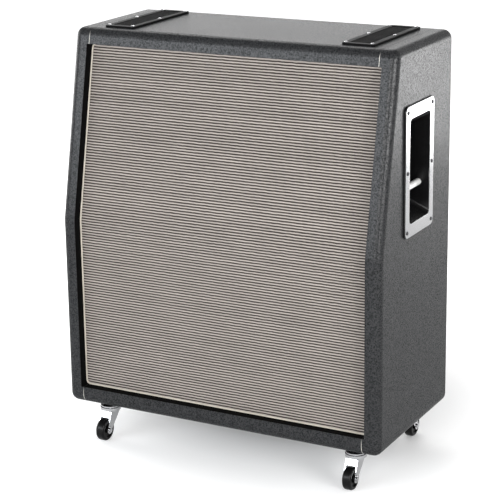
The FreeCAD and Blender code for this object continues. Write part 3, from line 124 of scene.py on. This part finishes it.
def noiseOf(tree, where, scale, detail, roughness=0.5):
    inputs = {"Vector": where, "Scale": scale, "Detail": detail, "Roughness": roughness}
    return addNode(tree, "ShaderNodeTexNoise", inputs).outputs["Fac"]


def newGroup(name, inputs, outputs):
    group = bpy.data.node_groups.new(name, "ShaderNodeTree")
    for label, kind, value in inputs:
        socket = group.interface.new_socket(label, in_out="INPUT", socket_type=f"NodeSocket{kind}")
        if value is not None:
            socket.default_value = value
    for label, kind in outputs:
        group.interface.new_socket(label, in_out="OUTPUT", socket_type=f"NodeSocket{kind}")
    start = addNode(group, "NodeGroupInput").outputs
    end = addNode(group, "NodeGroupOutput").inputs
    return group, start, end


def effect(tree, name, inputs):
    return addNode(tree, "ShaderNodeGroup", inputs, node_tree=bpy.data.node_groups[name]).outputs


# Shared effects

noiseSpan = (0.3, 0.7)  # most values of a noise texture lie here

grainShape = {
    "cells": 400.0,  # pebbles to the metre, where a finish gives none
    "swayScale": 240.0,
    "sway": 0.005,  # pulls the pebbles out of round
    "groove": 0.25,  # width between pebbles
    "lumpScale": 0.5,  # times the pebbles
    "fineScale": 4.5,
    "heightShares": (0.5, 0.8, 0.2),  # of pebbles, lumps and the fine part
    "toneShares": (0.35, 0.65),  # of pebbles and lumps
}


def makeGrain():
    # Pebbles with grooves between them, as pressed into vinyl and moulded plastic
    group, start, end = newGroup(
        "grain",
        [("Position", "Vector", None), ("Cells", "Float", grainShape["cells"])],
        [("Height", "Float"), ("Tone", "Float")],
    )
    where, cells = start["Position"], start["Cells"]
    swayInputs = {"Vector": where, "Scale": grainShape["swayScale"], "Detail": 2.0}
    sway = addNode(group, "ShaderNodeTexNoise", swayInputs).outputs["Color"]
    bent = calcVector(group, "ADD", where, calcVector(group, "MULTIPLY", sway, 3 * (grainShape["sway"],)))
    veinInputs = {"Vector": bent, "Scale": cells}
    veins = addNode(group, "ShaderNodeTexVoronoi", veinInputs, feature="DISTANCE_TO_EDGE")
    pebbles = remap(group, veins.outputs["Distance"], 0.0, grainShape["groove"])
    lumpScale = calc(group, "MULTIPLY", cells, grainShape["lumpScale"])
    lumps = remap(group, noiseOf(group, where, lumpScale, detail=3.0, roughness=0.6), *noiseSpan)
    fineScale = calc(group, "MULTIPLY", cells, grainShape["fineScale"])
    fine = noiseOf(group, where, fineScale, detail=3.0)
    height = addShares(group, (pebbles, lumps, fine), grainShape["heightShares"])
    group.links.new(height, end["Height"])
    group.links.new(addShares(group, (pebbles, lumps), grainShape["toneShares"]), end["Tone"])


wearShape = {
    "width": 0.0015,  # of a worn edge, where a finish gives none
    "samples": 4,
    "facing": (0.995, 0.86),  # from flat to fully an edge
    "patchScale": 180.0,
    "patches": (0.42, 0.66),  # noise from unworn to worn
}


def makeWear():
    # Mask of the edges, broken up as rubbed edges are
    group, start, end = newGroup(
        "edgeWear",
        [("Position", "Vector", None), ("Width", "Float", wearShape["width"])],
        [("Mask", "Float")],
    )
    bevel = addNode(group, "ShaderNodeBevel", {"Radius": start["Width"]}, samples=wearShape["samples"])
    sharp = addNode(group, "ShaderNodeNewGeometry").outputs["Normal"]
    facingInputs = {0: bevel.outputs["Normal"], 1: sharp}
    facing = addNode(group, "ShaderNodeVectorMath", facingInputs, operation="DOT_PRODUCT")
    edges = remap(group, facing.outputs["Value"], *wearShape["facing"])
    patches = noiseOf(group, start["Position"], wearShape["patchScale"], detail=4.0)
    patches = remap(group, patches, *wearShape["patches"])
    group.links.new(calc(group, "MULTIPLY", edges, patches), end["Mask"])


smudgeShape = {
    "scale": 30.0,  # where a finish gives none
    "fineScale": 14.0,  # times the wide part
    "shares": (0.7, 0.3),  # of the wide and the fine part
}


def makeSmudge():
    # Uneven cloudiness, from handling and dust
    group, start, end = newGroup(
        "smudge",
        [("Position", "Vector", None), ("Scale", "Float", smudgeShape["scale"])],
        [("Value", "Float")],
    )
    where, scale = start["Position"], start["Scale"]
    wide = noiseOf(group, where, scale, detail=6.0)
    fineScale = calc(group, "MULTIPLY", scale, smudgeShape["fineScale"])
    fine = noiseOf(group, where, fineScale, detail=3.0)
    mixed = addShares(group, (wide, fine), smudgeShape["shares"])
    group.links.new(remap(group, mixed, *noiseSpan), end["Value"])


def makeStreaks():
    # Long thin lines, for brushed metal and wood grain
    group, start, end = newGroup(
        "streaks",
        [("Position", "Vector", None), ("Stretch", "Vector", (1, 1, 1))],
        [("Value", "Float")],
    )
    stretched = calcVector(group, "MULTIPLY", start["Position"], start["Stretch"])
    lines = noiseOf(group, stretched, scale=1.0, detail=4.0, roughness=0.7)
    group.links.new(remap(group, lines, *noiseSpan), end["Value"])


weaveShape = {
    "pitch": 0.006,  # one light and one dark stripe
    "stitch": 0.0023,  # length of a stitch along the yarn
    "driftScale": 70.0,
    "drift": 0.06,  # how far a stripe wanders, in pitches
    "yarnEdge": (0.30, 0.20),  # dark to light, in pitches from the stripe's middle
    "stitchHeight": 0.45,
    "fibreScale": 2600.0,
    "fibreHeight": 0.2,
    "cloudScale": 14.0,
    "toneShares": (0.2, 0.3, 0.3, 0.3),  # of rows, stitches, clouds and fibres
}


def makeWeave():
    # Stripes of thick light yarn and thin dark yarn; Flat is the place on the cloth in metres
    group, start, end = newGroup(
        "weave",
        [
            ("Flat", "Vector", None),
            ("Pitch", "Float", weaveShape["pitch"]),
            ("Stitch", "Float", weaveShape["stitch"]),
        ],
        [("Light", "Float"), ("Height", "Float"), ("Tone", "Float")],
    )
    flat = start["Flat"]
    split = addNode(group, "ShaderNodeSeparateXYZ", {0: flat}).outputs
    drift = noiseOf(group, flat, weaveShape["driftScale"], detail=3.0)
    drift = remap(group, drift, *noiseSpan, -weaveShape["drift"], weaveShape["drift"])
    turns = calc(group, "ADD", calc(group, "DIVIDE", split["Y"], start["Pitch"]), drift)
    middle = calc(group, "ABSOLUTE", calc(group, "SUBTRACT", calc(group, "FRACT", turns), 0.5))
    light = remap(group, middle, *weaveShape["yarnEdge"])
    row = calc(group, "FLOOR", turns)
    shift = calc(group, "MULTIPLY", calc(group, "MODULO", row, 2.0), 0.5)  # half a stitch in every second row
    along = calc(group, "ADD", calc(group, "DIVIDE", split["X"], start["Stitch"]), shift)
    stitch = calc(group, "SINE", calc(group, "MULTIPLY", calc(group, "FRACT", along), math.pi))
    fibre = noiseOf(group, flat, weaveShape["fibreScale"], detail=3.0)
    raised = calc(group, "MULTIPLY", stitch, weaveShape["stitchHeight"])
    raised = calc(group, "ADD", raised, 1.0 - weaveShape["stitchHeight"])
    crown = calc(group, "MULTIPLY", light, raised)
    fuzz = calc(group, "MULTIPLY", fibre, weaveShape["fibreHeight"])
    rowTone = addNode(group, "ShaderNodeTexWhiteNoise", {"W": row}, noise_dimensions="1D").outputs["Value"]
    clouds = noiseOf(group, flat, weaveShape["cloudScale"], detail=4.0)
    tone = addShares(group, (rowTone, stitch, clouds, fibre), weaveShape["toneShares"])
    group.links.new(light, end["Light"])
    group.links.new(calc(group, "ADD", crown, fuzz), end["Height"])
    group.links.new(tone, end["Tone"])


for makeEffect in (makeGrain, makeWear, makeSmudge, makeStreaks, makeWeave):
    makeEffect()
print("shared effects ready")


# Finishes


def newMaterial(name, values=None):
    material = bpy.data.materials.new(name)
    material.use_nodes = True
    tree = material.node_tree
    shader = tree.nodes["Principled BSDF"]
    for label, value in (values or {}).items():
        shader.inputs[label].default_value = value
    return material, tree, shader


def placeOf(tree):
    return addNode(tree, "ShaderNodeTexCoord").outputs["Object"]


def smudgeOf(tree, where, scale):
    return effect(tree, "smudge", {"Position": where, "Scale": scale})["Value"]


def addBump(tree, shader, height, distance, strength):
    bump = addNode(tree, "ShaderNodeBump", {"Height": height, "Distance": distance, "Strength": strength})
    tree.links.new(bump.outputs["Normal"], shader.inputs["Normal"])


vinylLook = {
    "dark": (0.004, 0.0042, 0.0045),
    "light": (0.038, 0.039, 0.041),
    "worn": (0.10, 0.10, 0.10),
    "wear": 0.25,
    "wearWidth": 0.002,
    "cells": 600.0,  # pebbles to the metre
    "depth": 0.0004,
    "bump": 0.9,
    "gloss": 0.01,
    "shine": (0.12, 0.60),  # in the grooves and on the pebbles
    "shineTones": (0.3, 0.7),  # grain tones between which the shine grows
    "rough": 0.31,
    "roughSwing": 0.08,  # rougher in the grooves, smoother on the pebbles
    "roughTones": (0.2, 0.8),
    "smudgeScale": 9.0,
    "smudgeSwing": 0.04,  # of the roughness
}


def vinylFinish():
    gloss = {"Specular IOR Level": vinylLook["gloss"], "Coat Roughness": vinylLook["rough"]}
    material, tree, shader = newMaterial("vinyl", gloss)
    where = placeOf(tree)
    grain = effect(tree, "grain", {"Position": where, "Cells": vinylLook["cells"]})
    shine = remap(tree, grain["Tone"], *vinylLook["shineTones"], *vinylLook["shine"])
    tree.links.new(shine, shader.inputs["Coat Weight"])
    colour = mixColour(tree, grain["Tone"], vinylLook["dark"], vinylLook["light"])
    worn = effect(tree, "edgeWear", {"Position": where, "Width": vinylLook["wearWidth"]})["Mask"]
    worn = calc(tree, "MULTIPLY", worn, vinylLook["wear"])
    tree.links.new(mixColour(tree, worn, colour, vinylLook["worn"]), shader.inputs["Base Color"])
    swing, smudgeSwing = vinylLook["roughSwing"], vinylLook["smudgeSwing"]
    roughSpan = (vinylLook["rough"] + swing, vinylLook["rough"] - swing)
    rough = remap(tree, grain["Tone"], *vinylLook["roughTones"], *roughSpan)
    smudge = smudgeOf(tree, where, vinylLook["smudgeScale"])
    smudge = remap(tree, smudge, 0.0, 1.0, -smudgeSwing, smudgeSwing)
    tree.links.new(calc(tree, "ADD", rough, smudge), shader.inputs["Roughness"])
    addBump(tree, shader, grain["Height"], vinylLook["depth"], vinylLook["bump"])
    return material


woodLook = {
    "stretch": (160.0, 220.0, 9.0),  # lines to the metre each way
    "smudgeScale": 12.0,
    "shares": (0.7, 0.3),  # of lines and smudges in the colour
    "roughSwing": 0.08,
    "depth": 0.0002,
    "bump": 0.5,
}


def woodFinish(name, light, dark, rough):
    material, tree, shader = newMaterial(name)
    where = placeOf(tree)
    lines = effect(tree, "streaks", {"Position": where, "Stretch": woodLook["stretch"]})["Value"]
    smudge = smudgeOf(tree, where, woodLook["smudgeScale"])
    share = addShares(tree, (lines, smudge), woodLook["shares"])
    tree.links.new(mixColour(tree, share, light, dark), shader.inputs["Base Color"])
    swing = woodLook["roughSwing"]
    tree.links.new(remap(tree, lines, 0.0, 1.0, rough - swing, rough + swing), shader.inputs["Roughness"])
    addBump(tree, shader, lines, woodLook["depth"], woodLook["bump"])
    return material


clothLook = {
    "light": (0.350, 0.314, 0.286),
    "dark": (0.024, 0.019, 0.016),
    "tones": (0.25, 0.95),  # weave tones from the darkest to the lightest shade
    "lightShades": (0.72, 1.2),
    "darkShades": (0.6, 1.7),
    "rough": 0.9,
    "gloss": 0.2,
    "sheen": 0.1,
    "depth": 0.0006,
    "bump": 0.7,
}


def clothFinish():
    material, tree, shader = newMaterial(
        "grilleCloth",
        {
            "Roughness": clothLook["rough"],
            "Specular IOR Level": clothLook["gloss"],
            "Sheen Weight": clothLook["sheen"],
        },
    )
    flat = addNode(tree, "ShaderNodeUVMap", uv_map="flat").outputs["UV"]
    weave = effect(tree, "weave", {"Flat": flat})
    tone = remap(tree, weave["Tone"], *clothLook["tones"])
    yarn = mixShades(tree, tone, clothLook["light"], clothLook["lightShades"])
    gap = mixShades(tree, tone, clothLook["dark"], clothLook["darkShades"])
    tree.links.new(mixColour(tree, weave["Light"], gap, yarn), shader.inputs["Base Color"])
    addBump(tree, shader, weave["Height"], clothLook["depth"], clothLook["bump"])
    return material


plasticLook = {
    "shades": (0.85, 1.15),
    "smudgeScale": 22.0,
    "wearWidth": 0.0008,
    "wornGain": 1.6,  # worn edges are paler by this and the lift
    "wornLift": 0.03,
    "roughSwing": (-0.05, 0.07),
    "bump": 0.6,
}


def plasticFinish(name, colour, rough, gloss=0.5, grainDepth=0.00006, wear=0.3, cells=900.0):
    material, tree, shader = newMaterial(name, {"Specular IOR Level": gloss})
    where = placeOf(tree)
    smudge = smudgeOf(tree, where, plasticLook["smudgeScale"])
    tinted = mixShades(tree, smudge, colour, plasticLook["shades"])
    worn = effect(tree, "edgeWear", {"Position": where, "Width": plasticLook["wearWidth"]})["Mask"]
    worn = calc(tree, "MULTIPLY", worn, wear)
    pale = tuple(min(1.0, plasticLook["wornGain"] * part + plasticLook["wornLift"]) for part in colour)
    tree.links.new(mixColour(tree, worn, tinted, pale), shader.inputs["Base Color"])
    roughSpan = (rough + swing for swing in plasticLook["roughSwing"])
    tree.links.new(remap(tree, smudge, 0.0, 1.0, *roughSpan), shader.inputs["Roughness"])
    grain = effect(tree, "grain", {"Position": where, "Cells": cells})
    addBump(tree, shader, grain["Height"], grainDepth, plasticLook["bump"])
    return material


metalLook = {
    "shades": (0.94, 1.0),
    "smudgeScale": 26.0,
    "roughRise": 0.06,  # where it is smudged
    "bump": 0.5,
}


def metalFinish(name, colour, rough, stretch=(90.0, 90.0, 90.0), streakDepth=0.000004):
    material, tree, shader = newMaterial(name, {"Metallic": 1.0})
    where = placeOf(tree)
    smudge = smudgeOf(tree, where, metalLook["smudgeScale"])
    tree.links.new(mixShades(tree, smudge, colour, metalLook["shades"]), shader.inputs["Base Color"])
    roughest = rough + metalLook["roughRise"]
    tree.links.new(remap(tree, smudge, 0.0, 1.0, rough, roughest), shader.inputs["Roughness"])
    streaks = effect(tree, "streaks", {"Position": where, "Stretch": stretch})
    addBump(tree, shader, streaks["Value"], streakDepth, metalLook["bump"])
    return material


fibreLook = {
    "scale": 70.0,
    "shades": (0.7, 1.3),
    "depth": 0.0002,
    "bump": 0.6,
}


def fibreFinish(name, colour, rough, gloss=0.25):
    material, tree, shader = newMaterial(name, {"Roughness": rough, "Specular IOR Level": gloss})
    fibre = smudgeOf(tree, placeOf(tree), fibreLook["scale"])
    tree.links.new(mixShades(tree, fibre, colour, fibreLook["shades"]), shader.inputs["Base Color"])
    addBump(tree, shader, fibre, fibreLook["depth"], fibreLook["bump"])
    return material


fineGrain = {"grainDepth": 0.00003, "wear": 0.5, "cells": 1500.0}  # of painted steel and the jack
looks = {
    "vinyl": vinylFinish(),
    "plywood": woodFinish("plywood", (0.62, 0.47, 0.31), (0.40, 0.27, 0.16), 0.6),
    "black_wood": woodFinish("blackWood", (0.020, 0.020, 0.021), (0.010, 0.010, 0.010), 0.7),
    "grille_fabric": clothFinish(),
    "beading": plasticFinish("beading", (0.46, 0.42, 0.355), 0.4, wear=0.1),
    "speaker_steel": plasticFinish("speakerSteel", (0.05, 0.05, 0.055), 0.4, **fineGrain),
    "ferrite": fibreFinish("ferrite", (0.05, 0.05, 0.055), 0.75),
    "bare_steel": metalFinish("bareSteel", (0.55, 0.55, 0.56), 0.35, (400.0, 400.0, 30.0), 0.00002),
    "cone_paper": fibreFinish("conePaper", (0.04, 0.037, 0.035), 0.9),
    "treated_cloth": fibreFinish("treatedCloth", (0.16, 0.10, 0.05), 0.85),
    "gasket_board": fibreFinish("gasketBoard", (0.10, 0.09, 0.08), 0.9),
    "handle_silver": metalFinish("handleSilver", (0.26, 0.26, 0.265), 0.2, (700.0, 700.0, 24.0), 0.00002),
    "handle_black": plasticFinish("handleBlack", (0.004, 0.004, 0.0042), 0.2, gloss=0.3, grainDepth=0.00002),
    "chrome": metalFinish("chrome", (0.60, 0.60, 0.61), 0.12, streakDepth=0.000001),
    "plate_black": plasticFinish("plateBlack", (0.005, 0.005, 0.0053), 0.45, gloss=0.03, wear=0.2),
    "inlay_rubber": plasticFinish(
        "inlayRubber", (0.012, 0.012, 0.012), 0.65, gloss=0.05, grainDepth=0.0001, wear=0.1
    ),
    "wheel_rubber": plasticFinish(
        "wheelRubber", (0.003, 0.003, 0.0032), 0.3, gloss=0.18, grainDepth=0.00004, wear=0.1
    ),
    "wire_sheath": plasticFinish("wireSheath", (0.02, 0.02, 0.022), 0.45),
    "jack_black": plasticFinish("jackBlack", (0.018, 0.018, 0.019), 0.4, **fineGrain),
}
# Nodes whose finish differs from the rest of their slot
ownLooks = {
    "handle_bars": plasticFinish("paleBar", (0.74, 0.74, 0.73), 0.3, wear=0.0),
    "handle_screws": metalFinish("darkScrew", (0.10, 0.10, 0.105), 0.3),
    "rear_screws": metalFinish("dullScrew", (0.45, 0.45, 0.46), 0.35),
}
for subpart in subparts:
    surface = nodes[subpart["node"]].data.materials
    surface.clear()
    surface.append(ownLooks.get(subpart["node"], looks[subpart["material_slot"]]))
print("finishes on", len(subparts), "nodes")


# Pieces made here


def meshPiece(name, points, faces, material, flat=None):
    mesh = bpy.data.meshes.new(name)
    mesh.from_pydata(points, [], faces)
    mesh.materials.append(material)
    if flat is not None:
        layer = mesh.uv_layers.new(name="flat")
        for loop in mesh.loops:
            layer.data[loop.index].uv = flat[loop.vertex_index]
    for polygon in mesh.polygons:
        polygon.use_smooth = True
    piece = bpy.data.objects.new(name, mesh)
    bpy.context.scene.collection.objects.link(piece)
    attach(piece, "root")
    return piece


def gridFaces(rows, columns):
    return [
        (r * columns + c, r * columns + c + 1, (r + 1) * columns + c + 1, (r + 1) * columns + c)
        for r in range(rows - 1)
        for c in range(columns - 1)
    ]


def bendAt(depth):
    # Height of the bend in the surface that lies behind the front by that depth
    return cabinet["bend"] - depth * math.tan(lean / 2)


def frontAt(height, depth):
    # Y of that surface
    return cabinet["front"] + depth + max(0.0, height - bendAt(depth)) * slope


cloth = {
    "halfWidth": 0.3575,
    "low": 0.110,
    "high": 0.900,
    "lift": 0.0003,  # in front of the baffle
    "ridge": 0.00028,  # how far the light yarn stands out
    "rowsPerStripe": 6,
    "columns": 40,
    "wobble": 0.00025,  # how far a stripe strays up and down
    "wobbleScale": (9.0, 40.0),  # across and up the cloth
    "wobbleSlice": 3.1,
    "bendRound": 0.05,
}


def clothProfile():
    # Points up the cloth as (y, z, turn, length), with a small round at the bend
    depth = cabinet["recess"] + cloth["lift"]
    bend = bendAt(depth)
    radius = cloth["bendRound"]
    reach = radius * math.tan(lean / 2)
    lower = bend - reach - cloth["low"]
    arc = radius * lean
    total = lower + arc + (cloth["high"] - bend) / math.cos(lean) - reach
    steps = round(total / weaveShape["pitch"] * cloth["rowsPerStripe"])
    profile = []
    for n in range(steps + 1):
        length = total * n / steps
        straight = min(length, lower)
        turn = lean * min(max(length - lower, 0.0) / arc, 1.0)
        rest = max(length - lower - arc, 0.0)
        y = cabinet["front"] + depth + radius * (1 - math.cos(turn)) + rest * math.sin(lean)
        z = cloth["low"] + straight + radius * math.sin(turn) + rest * math.cos(lean)
        profile.append((y, z, turn, length))
    return profile, total


def makeCloth():
    profile, total = clothProfile()
    acrossScale, upScale = cloth["wobbleScale"]
    points = []
    flat = []
    for y, z, turn, length in profile:
        ridge = cloth["ridge"] * (0.5 - 0.5 * math.cos(2 * math.pi * length / weaveShape["pitch"]))
        for c in range(cloth["columns"]):
            x = -cloth["halfWidth"] + 2 * cloth["halfWidth"] * c / (cloth["columns"] - 1)
            spot = Vector((x * acrossScale, length * upScale, cloth["wobbleSlice"]))
            sway = cloth["wobble"] * noise.noise(spot)
            points.append((x, y - ridge * math.cos(turn), z + ridge * math.sin(turn) + sway))
            flat.append((x, length + sway))
    faces = gridFaces(len(profile), cloth["columns"])
    piece = meshPiece("grilleClothSheet", points, faces, looks["grille_fabric"], flat)
    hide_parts("grille_cloth")
    print(f"cloth made, {2 * cloth['halfWidth']:.3f} by {total:.3f} m")


seam = {
    "place": 0.3385,  # from the middle of the cabinet
    "width": 0.0011,
    "lift": 0.00012,  # off the vinyl
    "mouth": 0.8,  # starts this far into the recess
    "arcSteps": 10,
    "light": (0.62, 0.60, 0.55),
    "dark": (0.010, 0.010, 0.010),
    "flatTop": (0.25, 0.75),  # upward facing between which light turns dark
    "fray": (0.55, 1.0),  # shades of the light part
    "frayScale": 60.0,
    "rough": 0.7,
}


def seamFinish():
    # The pale backing shows at the front, and the seam turns dark where it faces upward
    material, tree, shader = newMaterial("seam", {"Roughness": seam["rough"]})
    normal = addNode(tree, "ShaderNodeNewGeometry").outputs["Normal"]
    upward = addNode(tree, "ShaderNodeSeparateXYZ", {0: normal}).outputs["Z"]
    frayed = smudgeOf(tree, placeOf(tree), seam["frayScale"])
    light = mixShades(tree, frayed, seam["light"], seam["fray"])
    flatTop = remap(tree, upward, *seam["flatTop"])
    tree.links.new(mixColour(tree, flatTop, light, seam["dark"]), shader.inputs["Base Color"])
    return material


def seamPath(upper):
    # (y, z) from inside the front's mouth, over the rounded edges and to the back, just off the vinyl
    edge, lift, steps = cabinet["edge"], seam["lift"], seam["arcSteps"]
    radius = edge + lift
    sign, tilt = (1, lean) if upper else (-1, 0.0)
    outer = cabinet["top"] if upper else cabinet["bottom"]
    band = cabinet["topBand"] if upper else cabinet["bottomBand"]
    inner = outer - sign * band - sign * lift
    mouth = seam["mouth"] * cabinet["recess"]
    path = [(frontAt(inner, mouth), inner), (frontAt(inner, 0.0) - lift, inner)]
    sweep = math.pi / 2 - tilt
    frontCentre = frontAt(outer, 0.0) + edge * math.tan(sweep / 2)
    backCentre = cabinet["back"] - edge
    level = outer - sign * edge
    for n in range(steps + 1):
        turn = tilt + sweep * n / steps
        path.append((frontCentre - radius * math.cos(turn), level + sign * radius * math.sin(turn)))
    for n in range(steps + 1):
        turn = math.pi / 2 * n / steps
        path.append((backCentre + radius * math.sin(turn), level + sign * radius * math.cos(turn)))
    return path


def makeSeams():
    material = seamFinish()
    for level, upper in (("Top", True), ("Bottom", False)):
        path = seamPath(upper)
        for side, sign in (("left", -1), ("right", 1)):
            middle = sign * seam["place"]
            edges = (middle - seam["width"] / 2, middle + seam["width"] / 2)
            points = [(x, y, z) for y, z in path for x in edges]
            faces = gridFaces(len(path), len(edges))
            meshPiece(f"{side}{level}Seam", points, faces, material)
    print("seams made")


# Painted shade: near-black sheets that darken the walls of the front's recess
recessShade = {
    "lift": 0.00006,  # off the rim
    "start": 0.0012,  # behind the rim's front
    # near-black colour of the painted recess shade
    "colour": (0.0025, 0.0024, 0.0023),
    "rough": 0.9,
    "gloss": 0.05,
}


def makeRecessShade():
    # Near-black sheets on the inside walls of the front's mouth, over their vinyl: painted shade of the deep
    # recess
    material = fibreFinish("mouthRecessShade", recessShade["colour"], recessShade["rough"], recessShade["gloss"])
    half = cabinet["halfWidth"] - cabinet["sideBand"] - recessShade["lift"]
    low = cabinet["bottom"] + cabinet["bottomBand"] + recessShade["lift"]
    high = cabinet["top"] - cabinet["topBand"] - recessShade["lift"]
    depths = (recessShade["start"], cabinet["recess"])
    heights = (low, cabinet["bend"], high)
    ends = (-half, half)
    for name, x in zip(("leftRecessShade", "rightRecessShade"), ends):
        points = [(x, frontAt(z, depth), z) for z in heights for depth in depths]
        meshPiece(name, points, gridFaces(len(heights), len(depths)), material)
    for name, z in (("bottomRecessShade", low), ("topRecessShade", high)):
        points = [(x, frontAt(z, depth), z) for x in ends for depth in depths]
        meshPiece(name, points, gridFaces(len(ends), len(depths)), material)
    print("mouth lining made")


makeCloth()
makeSeams()
makeRecessShade()


# Camera, floor and light

camera = {
    "place": (1.70927, -3.22467, 1.52022),
    "yaw": -28.592,
    "pitch": -15.683,
    "roll": -0.936,
    "focal": 1746.8,  # in pixels of the picture
    "centre": (236, 225),  # pixel that the lens points at
    "picture": 500,  # pixels across
    "sensor": 36,  # mm
}


def makeCamera():
    yaw, pitch, roll = (math.radians(camera[name]) for name in ("yaw", "pitch", "roll"))
    ahead = Vector((math.sin(yaw) * math.cos(pitch), math.cos(yaw) * math.cos(pitch), math.sin(pitch)))
    level = ahead.cross(Vector((0, 0, 1))).normalized()
    above = level.cross(ahead)
    right = level * math.cos(roll) + above * math.sin(roll)
    up = above * math.cos(roll) - level * math.sin(roll)
    data = bpy.data.cameras.new("photoCamera")
    data.sensor_width = camera["sensor"]
    data.lens = camera["focal"] / camera["picture"] * camera["sensor"]
    data.shift_x = 0.5 - camera["centre"][0] / camera["picture"]
    data.shift_y = camera["centre"][1] / camera["picture"] - 0.5
    made = bpy.data.objects.new("photoCamera", data)
    turn = Matrix((right, up, -ahead)).transposed().to_4x4()
    made.matrix_world = Matrix.Translation(camera["place"]) @ turn
    bpy.context.scene.collection.objects.link(made)
    bpy.context.scene.camera = made


floor = {
    "size": 60,
    "colour": (0.80, 0.80, 0.80),
    "rough": 0.65,
    "gloss": 0.2,
    "shadowPlace": (0.0, 0.25, 0.0),  # the floor's glow fades out round here: the lamps' real shadow, deepened by a painted shadow pool
    "reach": (0.25, 0.9),  # distances from there between which the glow grows
    "glow": (0.0, 0.85),  # lifts the floor to white for the camera
    "mirrorReach": (1.8, 4.0),
    "mirrorGlow": (0.0, 0.45),  # glow that metal and gloss see, faded near the cabinet: painted shade in their reflections of the floor
}


def makeFloor():
    half = floor["size"] / 2
    corners = [(-half, -half, 0), (half, -half, 0), (half, half, 0), (-half, half, 0)]
    mesh = bpy.data.meshes.new("floor")
    mesh.from_pydata(corners, [], [(0, 1, 2, 3)])
    material, tree, shader = newMaterial(
        "floor",
        {
            "Base Color": (*floor["colour"], 1.0),
            "Roughness": floor["rough"],
            "Specular IOR Level": floor["gloss"],
            "Emission Color": (1, 1, 1, 1),
        },
    )
    ray = addNode(tree, "ShaderNodeLightPath").outputs
    away = calcVector(tree, "SUBTRACT", placeOf(tree), floor["shadowPlace"])
    apart = addNode(tree, "ShaderNodeVectorMath", {0: away}, operation="LENGTH").outputs["Value"]
    # Painted shadow pool: the glow is weakest round shadowPlace, so the floor is darker round the cabinet
    glow = remap(tree, apart, *floor["reach"], *floor["glow"])
    seen = calc(tree, "MULTIPLY", ray["Is Camera Ray"], glow)
    # Painted shade in reflections: the glow seen by metal and gloss is lower nearer the cabinet, out to
    # mirrorReach
    mirrorGlow = remap(tree, apart, *floor["mirrorReach"], *floor["mirrorGlow"])
    mirror = calc(tree, "MAXIMUM", ray["Is Glossy Ray"], ray["Is Transmission Ray"])
    mirror = calc(tree, "MULTIPLY", mirror, mirrorGlow)
    tree.links.new(calc(tree, "MAXIMUM", seen, mirror), shader.inputs["Emission Strength"])
    mesh.materials.append(material)
    made = bpy.data.objects.new("floor", mesh)
    bpy.context.scene.collection.objects.link(made)


studio = {
    "horizon": 1.0,  # strength of the sky low down and overhead
    "zenith": 0.2,
    "skySpan": (0.08, 0.8),  # heights between which it changes
    "lamps": {
        "sideLamp": {
            "place": (1.5, 2.25, 0.53),
            "aim": (0.38, 0.0, 0.85),
            "size": (0.8, 0.8),
            "power": 22,
        },
        "backPanel": {
            "place": (-1.6, 2.8, 1.4),
            "aim": (0.0, 0.1, 0.9),
            "size": (2.2, 1.2),
            "power": 10,
        },
        "frontLamp": {
            "place": (-1.35, -2.9, 1.3),
            "aim": (0.0, -0.15, 0.75),
            "size": (2.4, 0.8),
            "power": 58,
            "tint": (0.9, 0.95, 1.0),
        },
        "faceLamp": {
            "place": (0.9, -3.3, 1.35),
            "aim": (0.37, -0.15, 0.75),
            "size": (1.4, 0.6),
            "power": 42,
        },
        "edgeLamp": {
            "place": (2.98, -1.65, 1.2),
            "aim": (0.38, -0.15, 0.75),
            "size": (1.8, 0.8),
            "power": 78,
        },
        "leftLamp": {
            "place": (-2.8, 0.4, 0.9),
            "aim": (-0.38, -0.15, 0.6),
            "size": (1.2, 1.2),
            "power": 30,
        },
        "topLamp": {
            "place": (-1.5, 2.6, 3.6),
            "aim": (0.0, 0.0, 0.9),
            "size": (3.0, 1.5),
            "power": 70,
        },
    },
}


def makeLights():
    world = bpy.data.worlds.new("studio")
    bpy.context.scene.world = world
    world.use_nodes = True
    tree = world.node_tree
    sky = tree.nodes["Background"]
    sky.inputs["Color"].default_value = (1, 1, 1, 1)
    direction = addNode(tree, "ShaderNodeTexCoord").outputs["Generated"]
    height = addNode(tree, "ShaderNodeSeparateXYZ", {0: direction}).outputs["Z"]
    strength = remap(tree, height, *studio["skySpan"], studio["horizon"], studio["zenith"])
    tree.links.new(strength, sky.inputs["Strength"])
    for name, box in studio["lamps"].items():
        data = bpy.data.lights.new(name, "AREA")
        data.shape = "RECTANGLE"
        data.size, data.size_y = box["size"]
        data.energy = box["power"]
        data.color = box.get("tint", (1, 1, 1))
        lamp = bpy.data.objects.new(name, data)
        lamp.location = box["place"]
        lamp.visible_camera = False
        away = Vector(box["place"]) - Vector(box["aim"])
        lamp.rotation_euler = away.to_track_quat("Z", "Y").to_euler()
        bpy.context.scene.collection.objects.link(lamp)
    bpy.context.scene.view_settings.view_transform = "Standard"


makeCamera()
makeFloor()
makeLights()
print("camera, floor and light ready")
